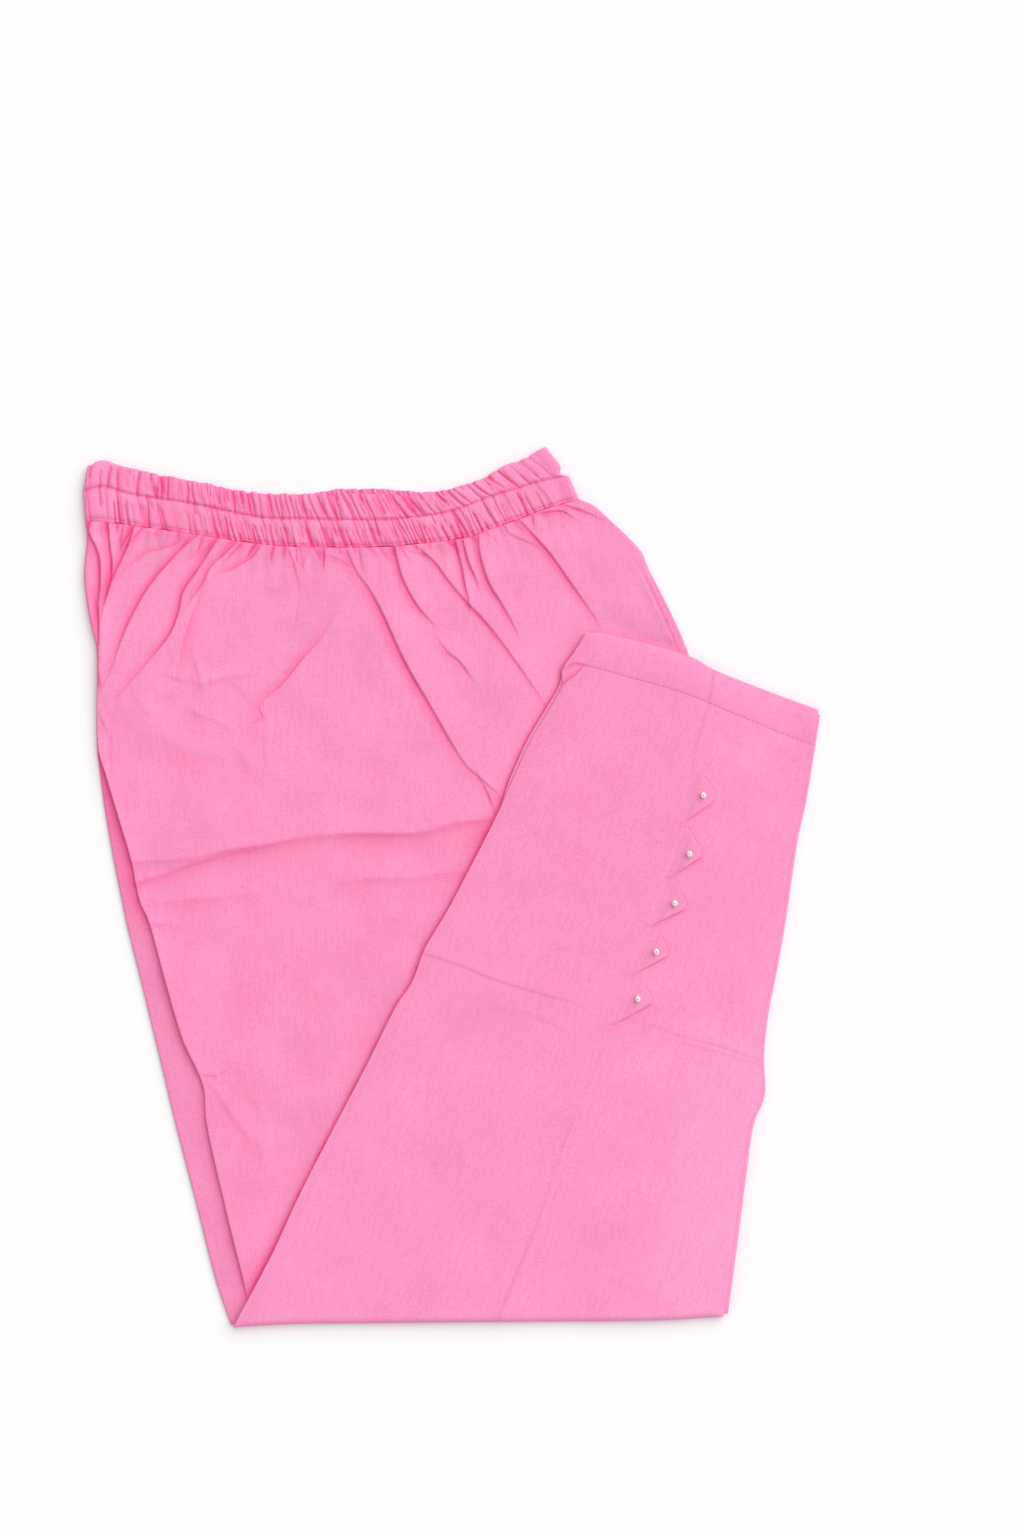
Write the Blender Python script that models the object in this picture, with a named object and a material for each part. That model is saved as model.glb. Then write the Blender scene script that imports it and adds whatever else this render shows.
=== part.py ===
"""Pyjama pants of pink cotton, laid flat, with the lower legs turned up over the body.

Lengths are in millimetres until a mesh is made. The frame is +Z up, +Y towards the waistband and
+X to the right of someone who looks down at the pants. The origin lies under their middle.
"""
import math
import random
from collections import namedtuple

import bpy
from mathutils import Vector
from mathutils.geometry import delaunay_2d_cdt, intersect_point_line

MM = 0.001

# Thicknesses, from the surface that the pants lie on upwards
CLOTH = 1.0
SEAM_GAP = 0.3
BACK_STACK = 2.4
LEG_STACK = 2.4
BAND_BACK = 2.4
HEM_EXTRA = 0.45
TAB_THICKNESS = 1.2
FRONT_LEVEL = BACK_STACK + SEAM_GAP
LEG_LEVEL = FRONT_LEVEL + CLOTH + SEAM_GAP

# Round the bottom fold the outer cloth runs down to the surface, outside the inner layers
FOLD_CLEAR = CLOTH + 1.5 * SEAM_GAP
FOLD_ROUND = 6.0
FOLD_DROP = 2.0
INNER_ROUND = 8.0
INNER_DROP = 2.5

# Where the turned-up leg reaches past the body it sinks to the surface
SINK_START = 2.0
SINK_LENGTH = 22.0

# Pearl buttons
PEARL_RADIUS = 2.0
PEARL_HOLE = 0.5
PEARL_SIDES = 10
PEARL_ROWS = 6

# The turned-down edge starts this far from the ends of the bottom fold
FOLD_END = 2.0

# Spacing of the points along an edge, and of those along a fold
EDGE_STEP = 15.0
FOLD_STEP = 12.0

# Points of an outline that lie this near each other are one
POINTS_MEET = 0.6

# At a sharp corner an outline moves in no further than its inset over this share
SHARPEST = 0.45

# Beside the turned-up leg the body's folds are pressed flat, and rise fully only this far from it
PRESSED = 1.5
RISEN = 12.0

# Over the stitch row at the hem the cloth thickens within this distance
HEM_SLOPE = 1.5

# The gathers: how many the band has, the seed of their unevenness, and how far one crest varies
BAND_GATHERS = 62
GATHER_SEED = 11
CREST_RANGE = (0.45, 1.0)

# Over this many gathers the two channels of the band fall out of step
OUT_OF_STEP = 14

# Sections across the body: where the upper cloth and the layer under it end on each side
LeftSection = namedtuple("LeftSection", "y top under")
LEFT_SIDE = [
    LeftSection(237.5, -238.5, -238.5),
    LeftSection(228.0, -237.0, -237.5),
    LeftSection(204.5, -239.0, -239.5),
    LeftSection(188.0, -237.5, -238.0),
    LeftSection(171.0, -234.5, -235.0),
    LeftSection(155.5, -231.0, -231.5),
    LeftSection(112.0, -231.0, -231.5),
    LeftSection(89.0, -230.0, -231.0),
    LeftSection(72.5, -225.0, -229.0),
    LeftSection(50.5, -218.5, -226.0),
    LeftSection(16.5, -208.5, -220.0),
    LeftSection(-8.0, -203.5, -215.0),
    LeftSection(-23.0, -197.0, -212.0),
    LeftSection(-59.0, -187.0, -203.0),
    LeftSection(-98.0, -175.5, -193.5),
    LeftSection(-129.0, -162.0, -186.0),
    LeftSection(-152.0, -160.0, -180.5),
    LeftSection(-204.0, -148.5, -167.0),
    LeftSection(-255.0, -136.0, -154.0),
    LeftSection(-283.5, -130.0, -144.5),
]
RightSection = namedtuple("RightSection", "y top under")
RIGHT_SIDE = [
    RightSection(252.5, 82.5, 82.5),
    RightSection(249.0, 91.0, 91.5),
    RightSection(241.0, 100.5, 101.0),
    RightSection(219.5, 121.5, 122.5),
    RightSection(206.5, 127.5, 128.5),
    RightSection(188.0, 135.5, 138.0),
    RightSection(166.0, 145.0, 148.5),
    RightSection(152.0, 150.0, 154.0),
    RightSection(122.0, 159.0, 163.0),
    RightSection(83.0, 167.0, 171.0),
    RightSection(31.0, 173.0, 177.0),
    RightSection(-28.0, 177.0, 181.0),
    RightSection(-158.0, 179.0, 183.0),
    RightSection(-223.0, 178.0, 181.5),
    RightSection(-276.5, 175.5, 178.0),
]

# Sections across the turned-up leg: where its upper cloth and the layers under it end
LegSection = namedtuple("LegSection", "y top under")
LEG_LEFT_SIDE = [
    LegSection(165.5, 87.0, 87.5),
    LegSection(153.5, 79.5, 80.0),
    LegSection(141.5, 71.5, 72.0),
    LegSection(131.0, 71.0, 69.5),
    LegSection(115.5, 62.5, 60.5),
    LegSection(95.0, 50.5, 48.5),
    LegSection(70.0, 39.0, 37.5),
    LegSection(45.0, 28.0, 28.5),
    LegSection(8.0, 9.0, 9.5),
    LegSection(-15.5, -3.5, -3.0),
    LegSection(-40.0, -18.0, -17.5),
    LegSection(-61.0, -26.0, -25.5),
    LegSection(-77.0, -36.5, -36.0),
    LegSection(-115.0, -55.5, -55.0),
    LegSection(-195.0, -97.0, -96.5),
    LegSection(-239.0, -117.5, -117.0),
    LegSection(-284.0, -141.5, -140.5),
]
LEG_RIGHT_SIDE = [
    LegSection(115.5, 238.5, 240.0),
    LegSection(92.5, 234.5, 236.5),
    LegSection(56.0, 228.5, 230.5),
    LegSection(31.0, 222.5, 225.0),
    LegSection(-26.0, 214.0, 216.5),
    LegSection(-59.0, 208.0, 210.5),
    LegSection(-81.0, 203.0, 206.0),
    LegSection(-109.5, 201.0, 203.0),
    LegSection(-135.0, 201.5, 203.5),
    LegSection(-152.5, 194.0, 196.5),
    LegSection(-182.0, 189.0, 192.0),
    LegSection(-221.0, 184.0, 187.0),
    LegSection(-277.0, 176.7, 179.5),
]

# Lines that run across or along the cloth, as points (x, y) from left to right or from the top down
FOLD_EDGE = [(-142.5, -286.0), (-107, -284.0), (-71, -283.5), (27, -282.5), (135, -281.5), (176.5, -279.0)]
HEM_EDGE = [
    (87, 165.5), (97, 165.5), (112.5, 162), (155.5, 150), (169.5, 142), (207.5, 127), (238.5, 115.5),
]
HEM_STITCH = [(76, 143.5), (86, 144.5), (112.5, 137.5), (152, 126), (183.5, 113), (234, 92.5)]
CENTRE_SEAM = [
    (-101, 221.5), (-100, 196.5), (-106.5, 154.5), (-119.5, 114), (-123.5, 63.5), (-128, 37.5),
    (-140, 23), (-167.5, 16.5), (-208.5, 16.5),
]
SIDE_SEAM = [
    (170.5, 141.5), (166.5, 119.5), (155.5, 82), (149, 40.5), (127.5, -25.5), (94.5, -112), (72.5, -164),
    (53.5, -221.5), (28.5, -282.4),
]

# Sections across the waistband, from left to right, and how far its back half shows above it
BandSection = namedtuple("BandSection", "bottom_x bottom_y centre_x centre_y top_x top_y back_shows")
WAIST = [
    BandSection(-238.5, 238.0, -240.0, 257.5, -237.0, 273.5, -1.5),
    BandSection(-227.0, 238.0, -227.0, 260.5, -225.5, 276.5, -1.5),
    BandSection(-208.5, 235.5, -208.5, 255.5, -208.5, 272.0, -1.5),
    BandSection(-169.0, 230.0, -169.0, 249.5, -169.0, 264.0, -1.5),
    BandSection(-125.0, 223.5, -125.0, 240.5, -125.0, 256.0, -1.5),
    BandSection(-97.0, 221.5, -97.0, 239.5, -97.0, 255.5, -1.5),
    BandSection(-46.0, 221.5, -46.0, 239.0, -46.0, 255.5, -1.0),
    BandSection(-23.0, 223.5, -23.0, 241.0, -23.0, 255.0, 3.5),
    BandSection(-4.0, 225.5, -5.0, 243.5, -7.0, 257.5, 4.0),
    BandSection(12.5, 228.5, 12.0, 249.0, 10.0, 262.0, 3.0),
    BandSection(26.0, 233.5, 24.5, 254.0, 22.0, 266.5, -0.5),
    BandSection(45.0, 240.0, 40.0, 258.5, 35.0, 273.5, -1.5),
    BandSection(58.5, 245.5, 54.0, 263.0, 47.0, 278.0, -1.5),
    BandSection(82.5, 252.5, 76.0, 268.0, 61.5, 285.5, -1.5),
]

# Rows over the waistband from its lower to its upper edge: place, height, depth of the gathers
BandRow = namedtuple("BandRow", "across height gather")
BAND_ROWS = [
    BandRow(0.000, 1.1, 0.2),
    BandRow(0.035, 1.8, 0.6),
    BandRow(0.260, 2.3, 1.6),
    BandRow(0.500, 1.5, 0.5),
    BandRow(0.740, 2.3, 1.6),
    BandRow(0.965, 1.7, 0.8),
    BandRow(1.000, 1.0, 0.2),
]

# Rows round the hidden back half of the band: place, and share of its height
BackBandRow = namedtuple("BackBandRow", "across share")
BACK_BAND_ROWS = [
    BackBandRow(0.00, 0.45),
    BackBandRow(0.03, 0.85),
    BackBandRow(0.50, 0.95),
    BackBandRow(0.95, 0.85),
    BackBandRow(1.00, 0.45),
    BackBandRow(0.97, 0.0),
    BackBandRow(0.02, 0.0),
]

# Main folds of the body: the route of each crest, its height at the start, middle and end, and how
# far each side reaches. The steep side is on the right of someone who walks the route
Fold = namedtuple("Fold", "route start middle end steep gentle")
BODY_FOLDS = [
    Fold([(-235, 236), (-229, 212), (-230, 180), (-231, 158)], 1.5, 3.2, 0.5, 3.0, 6.0),
    Fold([(-206, 234), (-216, 210), (-226, 185), (-228.5, 160)], 1.5, 3.4, 0.8, 3.0, 9.0),
    Fold([(-175, 229), (-193, 200), (-216, 160), (-228, 130)], 1.4, 3.0, 0.6, 3.0, 12.0),
    Fold([(-152, 225), (-168, 192), (-190, 160), (-217, 126)], 1.2, 2.8, 0.5, 3.0, 14.0),
    Fold([(-125, 222), (-133, 217.5), (-150, 205), (-159, 196.5)], 1.0, 1.9, 0.3, 3.0, 9.0),
    Fold([(-72, 180), (-95, 150), (-106, 137), (-124, 118)], 0.2, 1.6, 1.2, 2.5, 12.0),
    Fold([(-62, 219), (-46, 179), (-12.5, 116.5), (9, 79), (33, 58)], 1.4, 3.2, 1.6, 3.0, 16.0),
    Fold([(-36, 213), (-23, 184), (-5, 163), (17, 131)], 1.2, 2.5, 0.3, 3.0, 10.0),
    Fold([(-14, 216), (10, 184), (36, 151), (58, 122)], 1.2, 2.6, 0.8, 3.0, 11.0),
    Fold([(8, 223), (18, 204), (26, 186), (33, 171)], 1.2, 2.2, 0.2, 2.5, 7.0),
    Fold([(45, 237), (55, 228), (78, 195), (97, 168)], 1.2, 2.6, 0.6, 3.0, 12.0),
]
CROSS_CREASES = [
    Fold([(-204, 16), (-167, 15.5), (-105, 29), (-24, 37), (21, 42)], 0.8, 1.8, 1.2, 6.0, 16.0),
    Fold([(-150, 63), (-105, 68.5), (-73, 72.5), (-42, 81)], 0.1, 0.9, 0.1, 6.0, 12.0),
]
# Creases across the turned-up leg
LEG_CREASES = [
    Fold([(-17, -42), (18, -56), (50, -68), (79, -74)], 1.0, 0.8, 0.1, 2.5, 9.0),
    Fold([(128, -92), (155, -99), (180, -107), (198, -114)], 0.2, 0.9, 0.8, 2.5, 9.0),
]

# How the gathers below the band lean, in degrees from straight down, by place along the band
Lean = namedtuple("Lean", "along degrees")
GATHER_LEAN = [Lean(0.0, 5), Lean(0.12, -28), Lean(0.3, -40), Lean(0.43, 2), Lean(0.6, 25), Lean(1.0, 42)]
GATHERS_LEFT = 13
GATHERS_RIGHT = 19
GATHER_LENGTHS = (11.0, 30.0)
GATHER_HEIGHTS = (0.8, 2.2)

# Tabs: the two ends of the base, on the side seam, the blunt tip between them, and the pearl
Tab = namedtuple("Tab", "base_top shoulder tip base_bottom pearl")
TABS = [
    Tab((156.5, 81.5), (171.0, 62.5), (169.5, 55.5), (148.0, 40.5), (163.0, 60.0)),
    Tab((152.0, 40.5), (161.0, 26.5), (162.0, 20.0), (140.0, 5.5), (154.0, 22.0)),
    Tab((143.5, 6.5), (152.5, -10.0), (150.5, -14.5), (127.5, -25.5), (144.5, -10.0)),
    Tab((132.5, -24.5), (140.5, -39.5), (140.0, -44.5), (116.0, -57.0), (132.5, -41.5)),
    Tab((120.0, -57.0), (129.5, -70.0), (130.0, -75.0), (104.0, -89.5), (120.5, -72.0)),
]

# Edge profiles from the top face round to the under side: distance from the edge, share of height
RimRow = namedtuple("RimRow", "inset share")
WALL_RIM = [RimRow(0.5, 1.0), RimRow(0.12, 0.82), RimRow(0.0, 0.5), RimRow(0.12, 0.18), RimRow(0.5, 0.0)]
STACK_RIM = [
    RimRow(1.6, 1.0), RimRow(0.6, 0.92), RimRow(0.3, 0.72), RimRow(0.9, 0.55), RimRow(0.1, 0.38),
    RimRow(0.0, 0.2), RimRow(0.5, 0.0),
]

# The edge of a turned-up panel. On the bottom fold its height is counted from its top face, from its
# under side or from the surface it lies on
WrapRow = namedtuple("WrapRow", "inset share fold_inset fold_from fold_shift")
WRAP_RIM = [
    WrapRow(0.50, 1.00, 0.50, "top", 0.0),
    WrapRow(0.12, 0.85, 0.12, "top", -0.2),
    WrapRow(0.00, 0.62, 0.00, "top", -0.8),
    WrapRow(0.00, 0.50, 0.00, "surface", 0.9),
    WrapRow(0.03, 0.38, 0.35, "surface", 0.0),
    WrapRow(0.12, 0.22, CLOTH, "surface", 0.0),
    WrapRow(0.30, 0.08, CLOTH, "under", -0.5),
    WrapRow(0.50, 0.00, CLOTH + 0.05, "under", 0.0),
]


def remove_everything():
    """Empty the scene of its objects."""
    for thing in list(bpy.data.objects):
        bpy.data.objects.remove(thing, do_unlink=True)


def material(name, colour, roughness):
    """A plain Principled material."""
    made = bpy.data.materials.new(name)
    made.use_nodes = True
    shader = made.node_tree.nodes["Principled BSDF"]
    shader.inputs["Base Color"].default_value = (*colour, 1.0)
    shader.inputs["Roughness"].default_value = roughness
    made.diffuse_color = (*colour, 1.0)
    return made


def add_object(name, points, faces, finish):
    """One object from points in millimetres, shaded smooth but for its sharp edges."""
    mesh = bpy.data.meshes.new(name)
    mesh.from_pydata([(x * MM, y * MM, z * MM) for x, y, z in points], [], faces)
    mesh.materials.append(finish)
    mesh.shade_smooth()
    mesh.set_sharp_from_angle(angle=math.radians(50))
    mesh.validate()
    made = bpy.data.objects.new(name, mesh)
    bpy.context.collection.objects.link(made)
    return made


def blend(value, low, high):
    """0 below `low`, 1 above `high`, and an even S between them."""
    share = min(1.0, max(0.0, (value - low) / (high - low)))
    return share * share * (3.0 - 2.0 * share)


def between(rows, key, column, value):
    """Read a column of a table at `value` of its key column, straight between the rows."""
    ordered = sorted(rows, key=lambda row: getattr(row, key))
    if value <= getattr(ordered[0], key):
        return getattr(ordered[0], column)
    for low, high in zip(ordered, ordered[1:]):
        if value <= getattr(high, key):
            share = (value - getattr(low, key)) / (getattr(high, key) - getattr(low, key))
            return getattr(low, column) + share * (getattr(high, column) - getattr(low, column))
    return getattr(ordered[-1], column)


def curve_through(points, pieces=8):
    """A fine smooth line through the points."""
    fine = []
    for i in range(len(points) - 1):
        p0, p1, p2, p3 = (Vector(points[min(max(k, 0), len(points) - 1)]) for k in range(i - 1, i + 3))
        length = (p2 - p1).length
        leave = (p2 - p0) * (length / max((p1 - p0).length + length, 1e-6))
        arrive = (p3 - p1) * (length / max((p3 - p2).length + length, 1e-6))
        for k in range(pieces):
            t = k / pieces
            fine.append(
                p1 * (2 * t**3 - 3 * t**2 + 1) + leave * (t**3 - 2 * t**2 + t)
                + p2 * (3 * t**2 - 2 * t**3) + arrive * (t**3 - t**2)
            )
    fine.append(Vector(points[-1]))
    return fine


def lengths_along(line):
    """The distance from the start of a line to each of its points."""
    total = [0.0]
    for a, b in zip(line, line[1:]):
        total.append(total[-1] + (b - a).length)
    return total


def point_along(line, total, distance):
    """The point of a line that lies `distance` from its start."""
    for i in range(len(line) - 1):
        if distance <= total[i + 1]:
            span = max(total[i + 1] - total[i], 1e-9)
            return line[i].lerp(line[i + 1], (distance - total[i]) / span)
    return line[-1].copy()


def spaced(points, step):
    """Points on the smooth line through `points`, evenly spaced about `step` apart."""
    line = curve_through(points)
    total = lengths_along(line)
    count = max(1, round(total[-1] / step))
    return [point_along(line, total, total[-1] * k / count) for k in range(count + 1)]


def side_points(rows, column):
    """The points (x, y) that a column of a table of sections gives."""
    return [(getattr(row, column), row.y) for row in rows]


def chain(*lines):
    """One closed outline from lines that meet end to end."""
    outline = []
    for line in lines:
        for point in line:
            if not outline or (point - outline[-1]).length > POINTS_MEET:
                outline.append(point)
    if (outline[0] - outline[-1]).length <= POINTS_MEET:
        outline.pop()
    return outline


def moved_in(outline, insets):
    """An outline that runs anticlockwise, moved in by one distance for each of its points."""
    moved = []
    count = len(outline)
    for i, point in enumerate(outline):
        before = (point - outline[i - 1]).normalized()
        after = (outline[(i + 1) % count] - point).normalized()
        inward = Vector((-before.y - after.y, before.x + after.x))
        inward.normalize()
        slant = max(SHARPEST, -before.y * inward.x + before.x * inward.y)
        moved.append(point + inward * (insets[i] / slant))
    return moved


def inside(outline, point):
    """Whether a point lies within an outline."""
    within = False
    for a, b in zip(outline, outline[1:] + outline[:1]):
        if (a.y > point.y) != (b.y > point.y):
            if point.x < a.x + (b.x - a.x) * (point.y - a.y) / (b.y - a.y):
                within = not within
    return within


def distance_to(line, point):
    """The distance from a point to a line, how far along it that is, and on which side.

    The side is +1 on the left of someone who walks the line, and -1 on the right.
    """
    best, along, side, walked = 1e9, 0.0, 1.0, 0.0
    for a, b in zip(line, line[1:]):
        span = (b - a).length
        share = min(1.0, max(0.0, intersect_point_line(point, a, b)[1]))
        gap = point - a.lerp(b, share)
        if gap.length < best:
            best = gap.length
            along = walked + share * span
            side = 1.0 if (b - a).cross(point - a) >= 0 else -1.0
        walked += span
    return best, along, side


class Crease:
    """A fold's route and heights, ready to be read at any point of the cloth."""

    def __init__(self, fold):
        self.line = spaced(fold.route, FOLD_STEP)
        self.length = lengths_along(self.line)[-1]
        self.fold = fold

    def height(self, point):
        """How far the fold lifts the cloth at a point."""
        if (point - self.line[0]).length > self.length + self.fold.gentle + self.fold.steep:
            return 0.0
        gap, along, side = distance_to(self.line, point)
        reach = self.fold.gentle if side > 0 else self.fold.steep
        if gap >= reach:
            return 0.0
        share = along / self.length
        if share < 0.5:
            crest = self.fold.start + (self.fold.middle - self.fold.start) * blend(share, 0.0, 0.5)
        else:
            crest = self.fold.middle + (self.fold.end - self.fold.middle) * blend(share, 0.5, 1.0)
        return crest * (1.0 - gap / reach)

    def lines(self):
        """The crest and the foot of the fold on each side."""
        count = len(self.line)
        ahead = [self.line[min(i + 1, count - 1)] - self.line[max(i - 1, 0)] for i in range(count)]
        normals = [Vector((-way.y, way.x)).normalized() for way in ahead]
        return [
            [point + normal * shift for point, normal in zip(self.line, normals)]
            for shift in (0.0, self.fold.gentle, -self.fold.steep)
        ]


def highest(creases, point):
    """The lift of the highest of several folds at a point."""
    return max([crease.height(point) for crease in creases], default=0.0)


def waist_line(column, fine=8):
    """A line along the band: its `bottom`, `centre` or `top`."""
    points = [(getattr(row, column + "_x"), getattr(row, column + "_y")) for row in WAIST]
    return curve_through(points, fine)


WAIST_SEAM = waist_line("bottom")
WAIST_LENGTHS = lengths_along(WAIST_SEAM)
SEAM_START = distance_to(WAIST_SEAM, Vector(CENTRE_SEAM[0]))[1]
LEG_EDGE = curve_through(side_points(LEG_LEFT_SIDE, "top"))
HEM_LINE = curve_through(HEM_EDGE)
STITCH_LINE = curve_through(HEM_STITCH)
FOLD_LINE = curve_through(FOLD_EDGE)
BODY_RIGHT = curve_through(side_points(RIGHT_SIDE, "under"))


def gather_stations(count, start, end, rng):
    """Uneven places along the waist seam: valleys at even indices, crests at odd ones."""
    widths = [rng.uniform(0.65, 1.35) for _ in range(2 * count)]
    scale = (end - start) / sum(widths)
    places = [start]
    for width in widths:
        places.append(places[-1] + width * scale)
    return places


def gather_folds(places, rng):
    """A short fold below the band for each crest among the places."""
    folds = []
    for k in range(1, len(places) - 1, 2):
        root = point_along(WAIST_SEAM, WAIST_LENGTHS, places[k])
        lean = between(GATHER_LEAN, "along", "degrees", places[k] / WAIST_LENGTHS[-1])
        lean = math.radians(lean + rng.uniform(-8, 8))
        down = Vector((math.sin(lean), -math.cos(lean)))
        reach = rng.uniform(*GATHER_LENGTHS)
        height = rng.uniform(*GATHER_HEIGHTS)
        width = 0.5 * (places[k + 1] - places[k - 1]) * math.cos(lean)
        route = [root, root + down * 0.5 * reach, root + down * reach]
        folds.append(Fold([tuple(p) for p in route], height, 0.7 * height, 0.0, width, width))
    return folds


def under_leg(point):
    """Whether the turned-up leg covers a point of the body, as 0 for covered, 1 for well clear."""
    if inside(LEG_OUTLINE, point):
        return 0.0
    gap = min(distance_to(LEG_EDGE, point)[0], distance_to(HEM_LINE, point)[0])
    return blend(gap, PRESSED, RISEN)


def sink(point):
    """How far the turned-up leg has sunk to the surface beside the body, from 0 to 1."""
    gap, _, side = distance_to(BODY_RIGHT, point)
    return blend(gap * side, SINK_START, SINK_START + SINK_LENGTH)


def fold_drop(point, drop=FOLD_DROP, reach=FOLD_ROUND):
    """How far the outer cloth has turned down towards the bottom fold."""
    gap = distance_to(FOLD_LINE, point)[0]
    return drop * max(0.0, 1.0 - gap / reach) ** 2


def triangles_within(ring, lines, margin):
    """Triangles over a ring of points, with the parts of the lines that lie well within it.

    Returns the points that were added and the triangles, whose indices count the ring first.
    """
    flat = [Vector((p[0], p[1])) for p in ring]
    closed = flat + flat[:1]
    points = list(flat)
    edges = []
    for line in lines:
        last = None
        for point in line:
            if not inside(flat, point) or distance_to(closed, point)[0] < margin:
                last = None
                continue
            near = [i for i in range(len(flat), len(points)) if (points[i] - point).length < margin]
            if near:
                index = near[0]
            else:
                index = len(points)
                points.append(point)
            if last is not None and last != index:
                edges.append((last, index))
            last = index
    made = delaunay_2d_cdt(points, edges, [list(range(len(flat)))], 1, 1e-5)
    coords, faces, origins = made[0], made[2], made[3]
    index_of = {}
    added = []
    for i, sources in enumerate(origins):
        rims = [s for s in sources if s < len(flat)]
        if rims:
            index_of[i] = rims[0]
        else:
            index_of[i] = len(flat) + len(added)
            added.append(coords[i])
    return added, [[index_of[i] for i in face] for face in faces]


def closed_solid(name, rings, top_lines, under_lines, top, under, finish, margin=1.3):
    """A closed body: rings of points from its top face round its edge to its under side."""
    count = len(rings[0])
    points = [tuple(point) for ring in rings for point in ring]
    faces = []
    for k in range(len(rings) - 1):
        for i in range(count):
            j = (i + 1) % count
            faces.append([k * count + j, k * count + i, (k + 1) * count + i, (k + 1) * count + j])
    added, triangles = triangles_within(rings[0], top_lines, margin)
    shift = len(points) - count
    points += [(p.x, p.y, top(p)) for p in added]
    faces += [[i if i < count else i + shift for i in face] for face in triangles]
    added, triangles = triangles_within(rings[-1], under_lines, margin)
    first = (len(rings) - 1) * count
    shift = len(points) - count
    points += [(p.x, p.y, under(p)) for p in added]
    faces += [[i + first if i < count else i + shift for i in reversed(face)] for face in triangles]
    return add_object(name, points, faces, finish)


def rim_rings(outline, rim, top, under):
    """The rings of a solid whose whole edge has one profile."""
    rings = []
    for row in rim:
        ring = moved_in(outline, [SEAM_GAP / 2 + row.inset] * len(outline))
        rings.append([(p.x, p.y, under(p) + row.share * (top(p) - under(p))) for p in ring])
    return rings


def waist_points(places):
    """Points of the waist seam at places along it."""
    return [point_along(WAIST_SEAM, WAIST_LENGTHS, place) for place in places]


def body_bottom(rows_left, rows_right, column):
    """The lower end of the body's layers, within the outer cloth that turns round the fold."""
    left = (getattr(rows_left[-1], column), rows_left[-1].y)
    right = (getattr(rows_right[-1], column), rows_right[-1].y)
    between_ends = [(x, y + FOLD_CLEAR) for x, y in FOLD_EDGE[1:-1]]
    return spaced([left, *between_ends, right], 1.6 * EDGE_STEP)


def build_back_panels(finish):
    """Both backs and the leg below, as one rounded stack with a layered edge."""
    outline = chain(
        spaced(side_points(LEFT_SIDE, "under"), EDGE_STEP),
        body_bottom(LEFT_SIDE, RIGHT_SIDE, "under"),
        spaced(side_points(RIGHT_SIDE, "under"), EDGE_STEP)[::-1],
        spaced([tuple(p) for p in WAIST_SEAM], EDGE_STEP)[::-1],
    )

    def top(_point):
        return BACK_STACK

    def under(_point):
        return 0.0

    rings = rim_rings(outline, STACK_RIM, top, under)
    closed_solid("back_panels", rings, [], [], top, under, finish)


def body_front(name, outline, creases, finish):
    """One front panel: a wall on the back, lifted by its folds."""

    def under(point):
        return FRONT_LEVEL + highest(creases, point) * under_leg(point)

    def top(point):
        return under(point) + CLOTH

    lines = [line for crease in creases for line in crease.lines()]
    for edge in (LEG_EDGE, HEM_LINE):
        for shift in (PRESSED, RISEN):
            lines.append(beside(edge, shift))
    rings = rim_rings(outline, WALL_RIM, top, under)
    closed_solid(name, rings, lines, lines, top, under, finish, margin=2.0)


def beside(line, shift):
    """Points beside a line, `shift` to the left of someone who walks it backwards."""
    even = spaced([tuple(p) for p in line[::4]], EDGE_STEP)
    ways = [even[min(i + 1, len(even) - 1)] - even[max(i - 1, 0)] for i in range(len(even))]
    return [p + Vector((way.y, -way.x)).normalized() * shift for p, way in zip(even, ways)]


def build_fronts(finish):
    """Both front panels, on either side of the centre-front seam."""
    rng = random.Random(GATHER_SEED)
    left_places = gather_stations(GATHERS_LEFT, 0.0, SEAM_START, rng)
    right_places = gather_stations(GATHERS_RIGHT, SEAM_START, WAIST_LENGTHS[-1], rng)
    gathers = gather_folds(left_places, rng) + gather_folds(right_places, rng)
    creases = [Crease(fold) for fold in gathers + BODY_FOLDS + CROSS_CREASES]
    seam = spaced(CENTRE_SEAM, EDGE_STEP)
    crotch_y = CENTRE_SEAM[-1][1]
    upper = [row for row in LEFT_SIDE if row.y >= crotch_y]
    lower = [row for row in LEFT_SIDE if row.y <= crotch_y]
    left = chain(
        spaced(side_points(upper, "top"), EDGE_STEP),
        seam[::-1],
        waist_points(left_places)[::-1],
    )
    right = chain(
        spaced(side_points(lower, "top"), EDGE_STEP),
        body_bottom(LEFT_SIDE, RIGHT_SIDE, "top"),
        spaced(side_points(RIGHT_SIDE, "top"), EDGE_STEP)[::-1],
        waist_points(right_places)[::-1],
        seam,
    )
    body_front("front_left", left, creases, finish)
    body_front("front_right", right, creases, finish)


def leg_under(point):
    """The under side of the turned-up layers: on the body, or on the surface beside it."""
    return LEG_LEVEL * (1.0 - sink(point))


def leg_top(point):
    """The upper side of the turned-up layers, under the outer cloth."""
    return leg_under(point) + LEG_STACK - fold_drop(point, INNER_DROP, INNER_ROUND)


def sink_lines():
    """Lines beside the body's edge, where the turned-up leg bends down and lies flat again."""
    return [beside(BODY_RIGHT, -SINK_START - share * SINK_LENGTH) for share in (0.0, 0.3, 0.7, 1.0)]


def fold_lines():
    """Lines beside the bottom fold, where the outer cloth turns down."""
    return [beside(FOLD_LINE, -share * FOLD_ROUND) for share in (0.35, 0.65, 1.0)]


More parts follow.
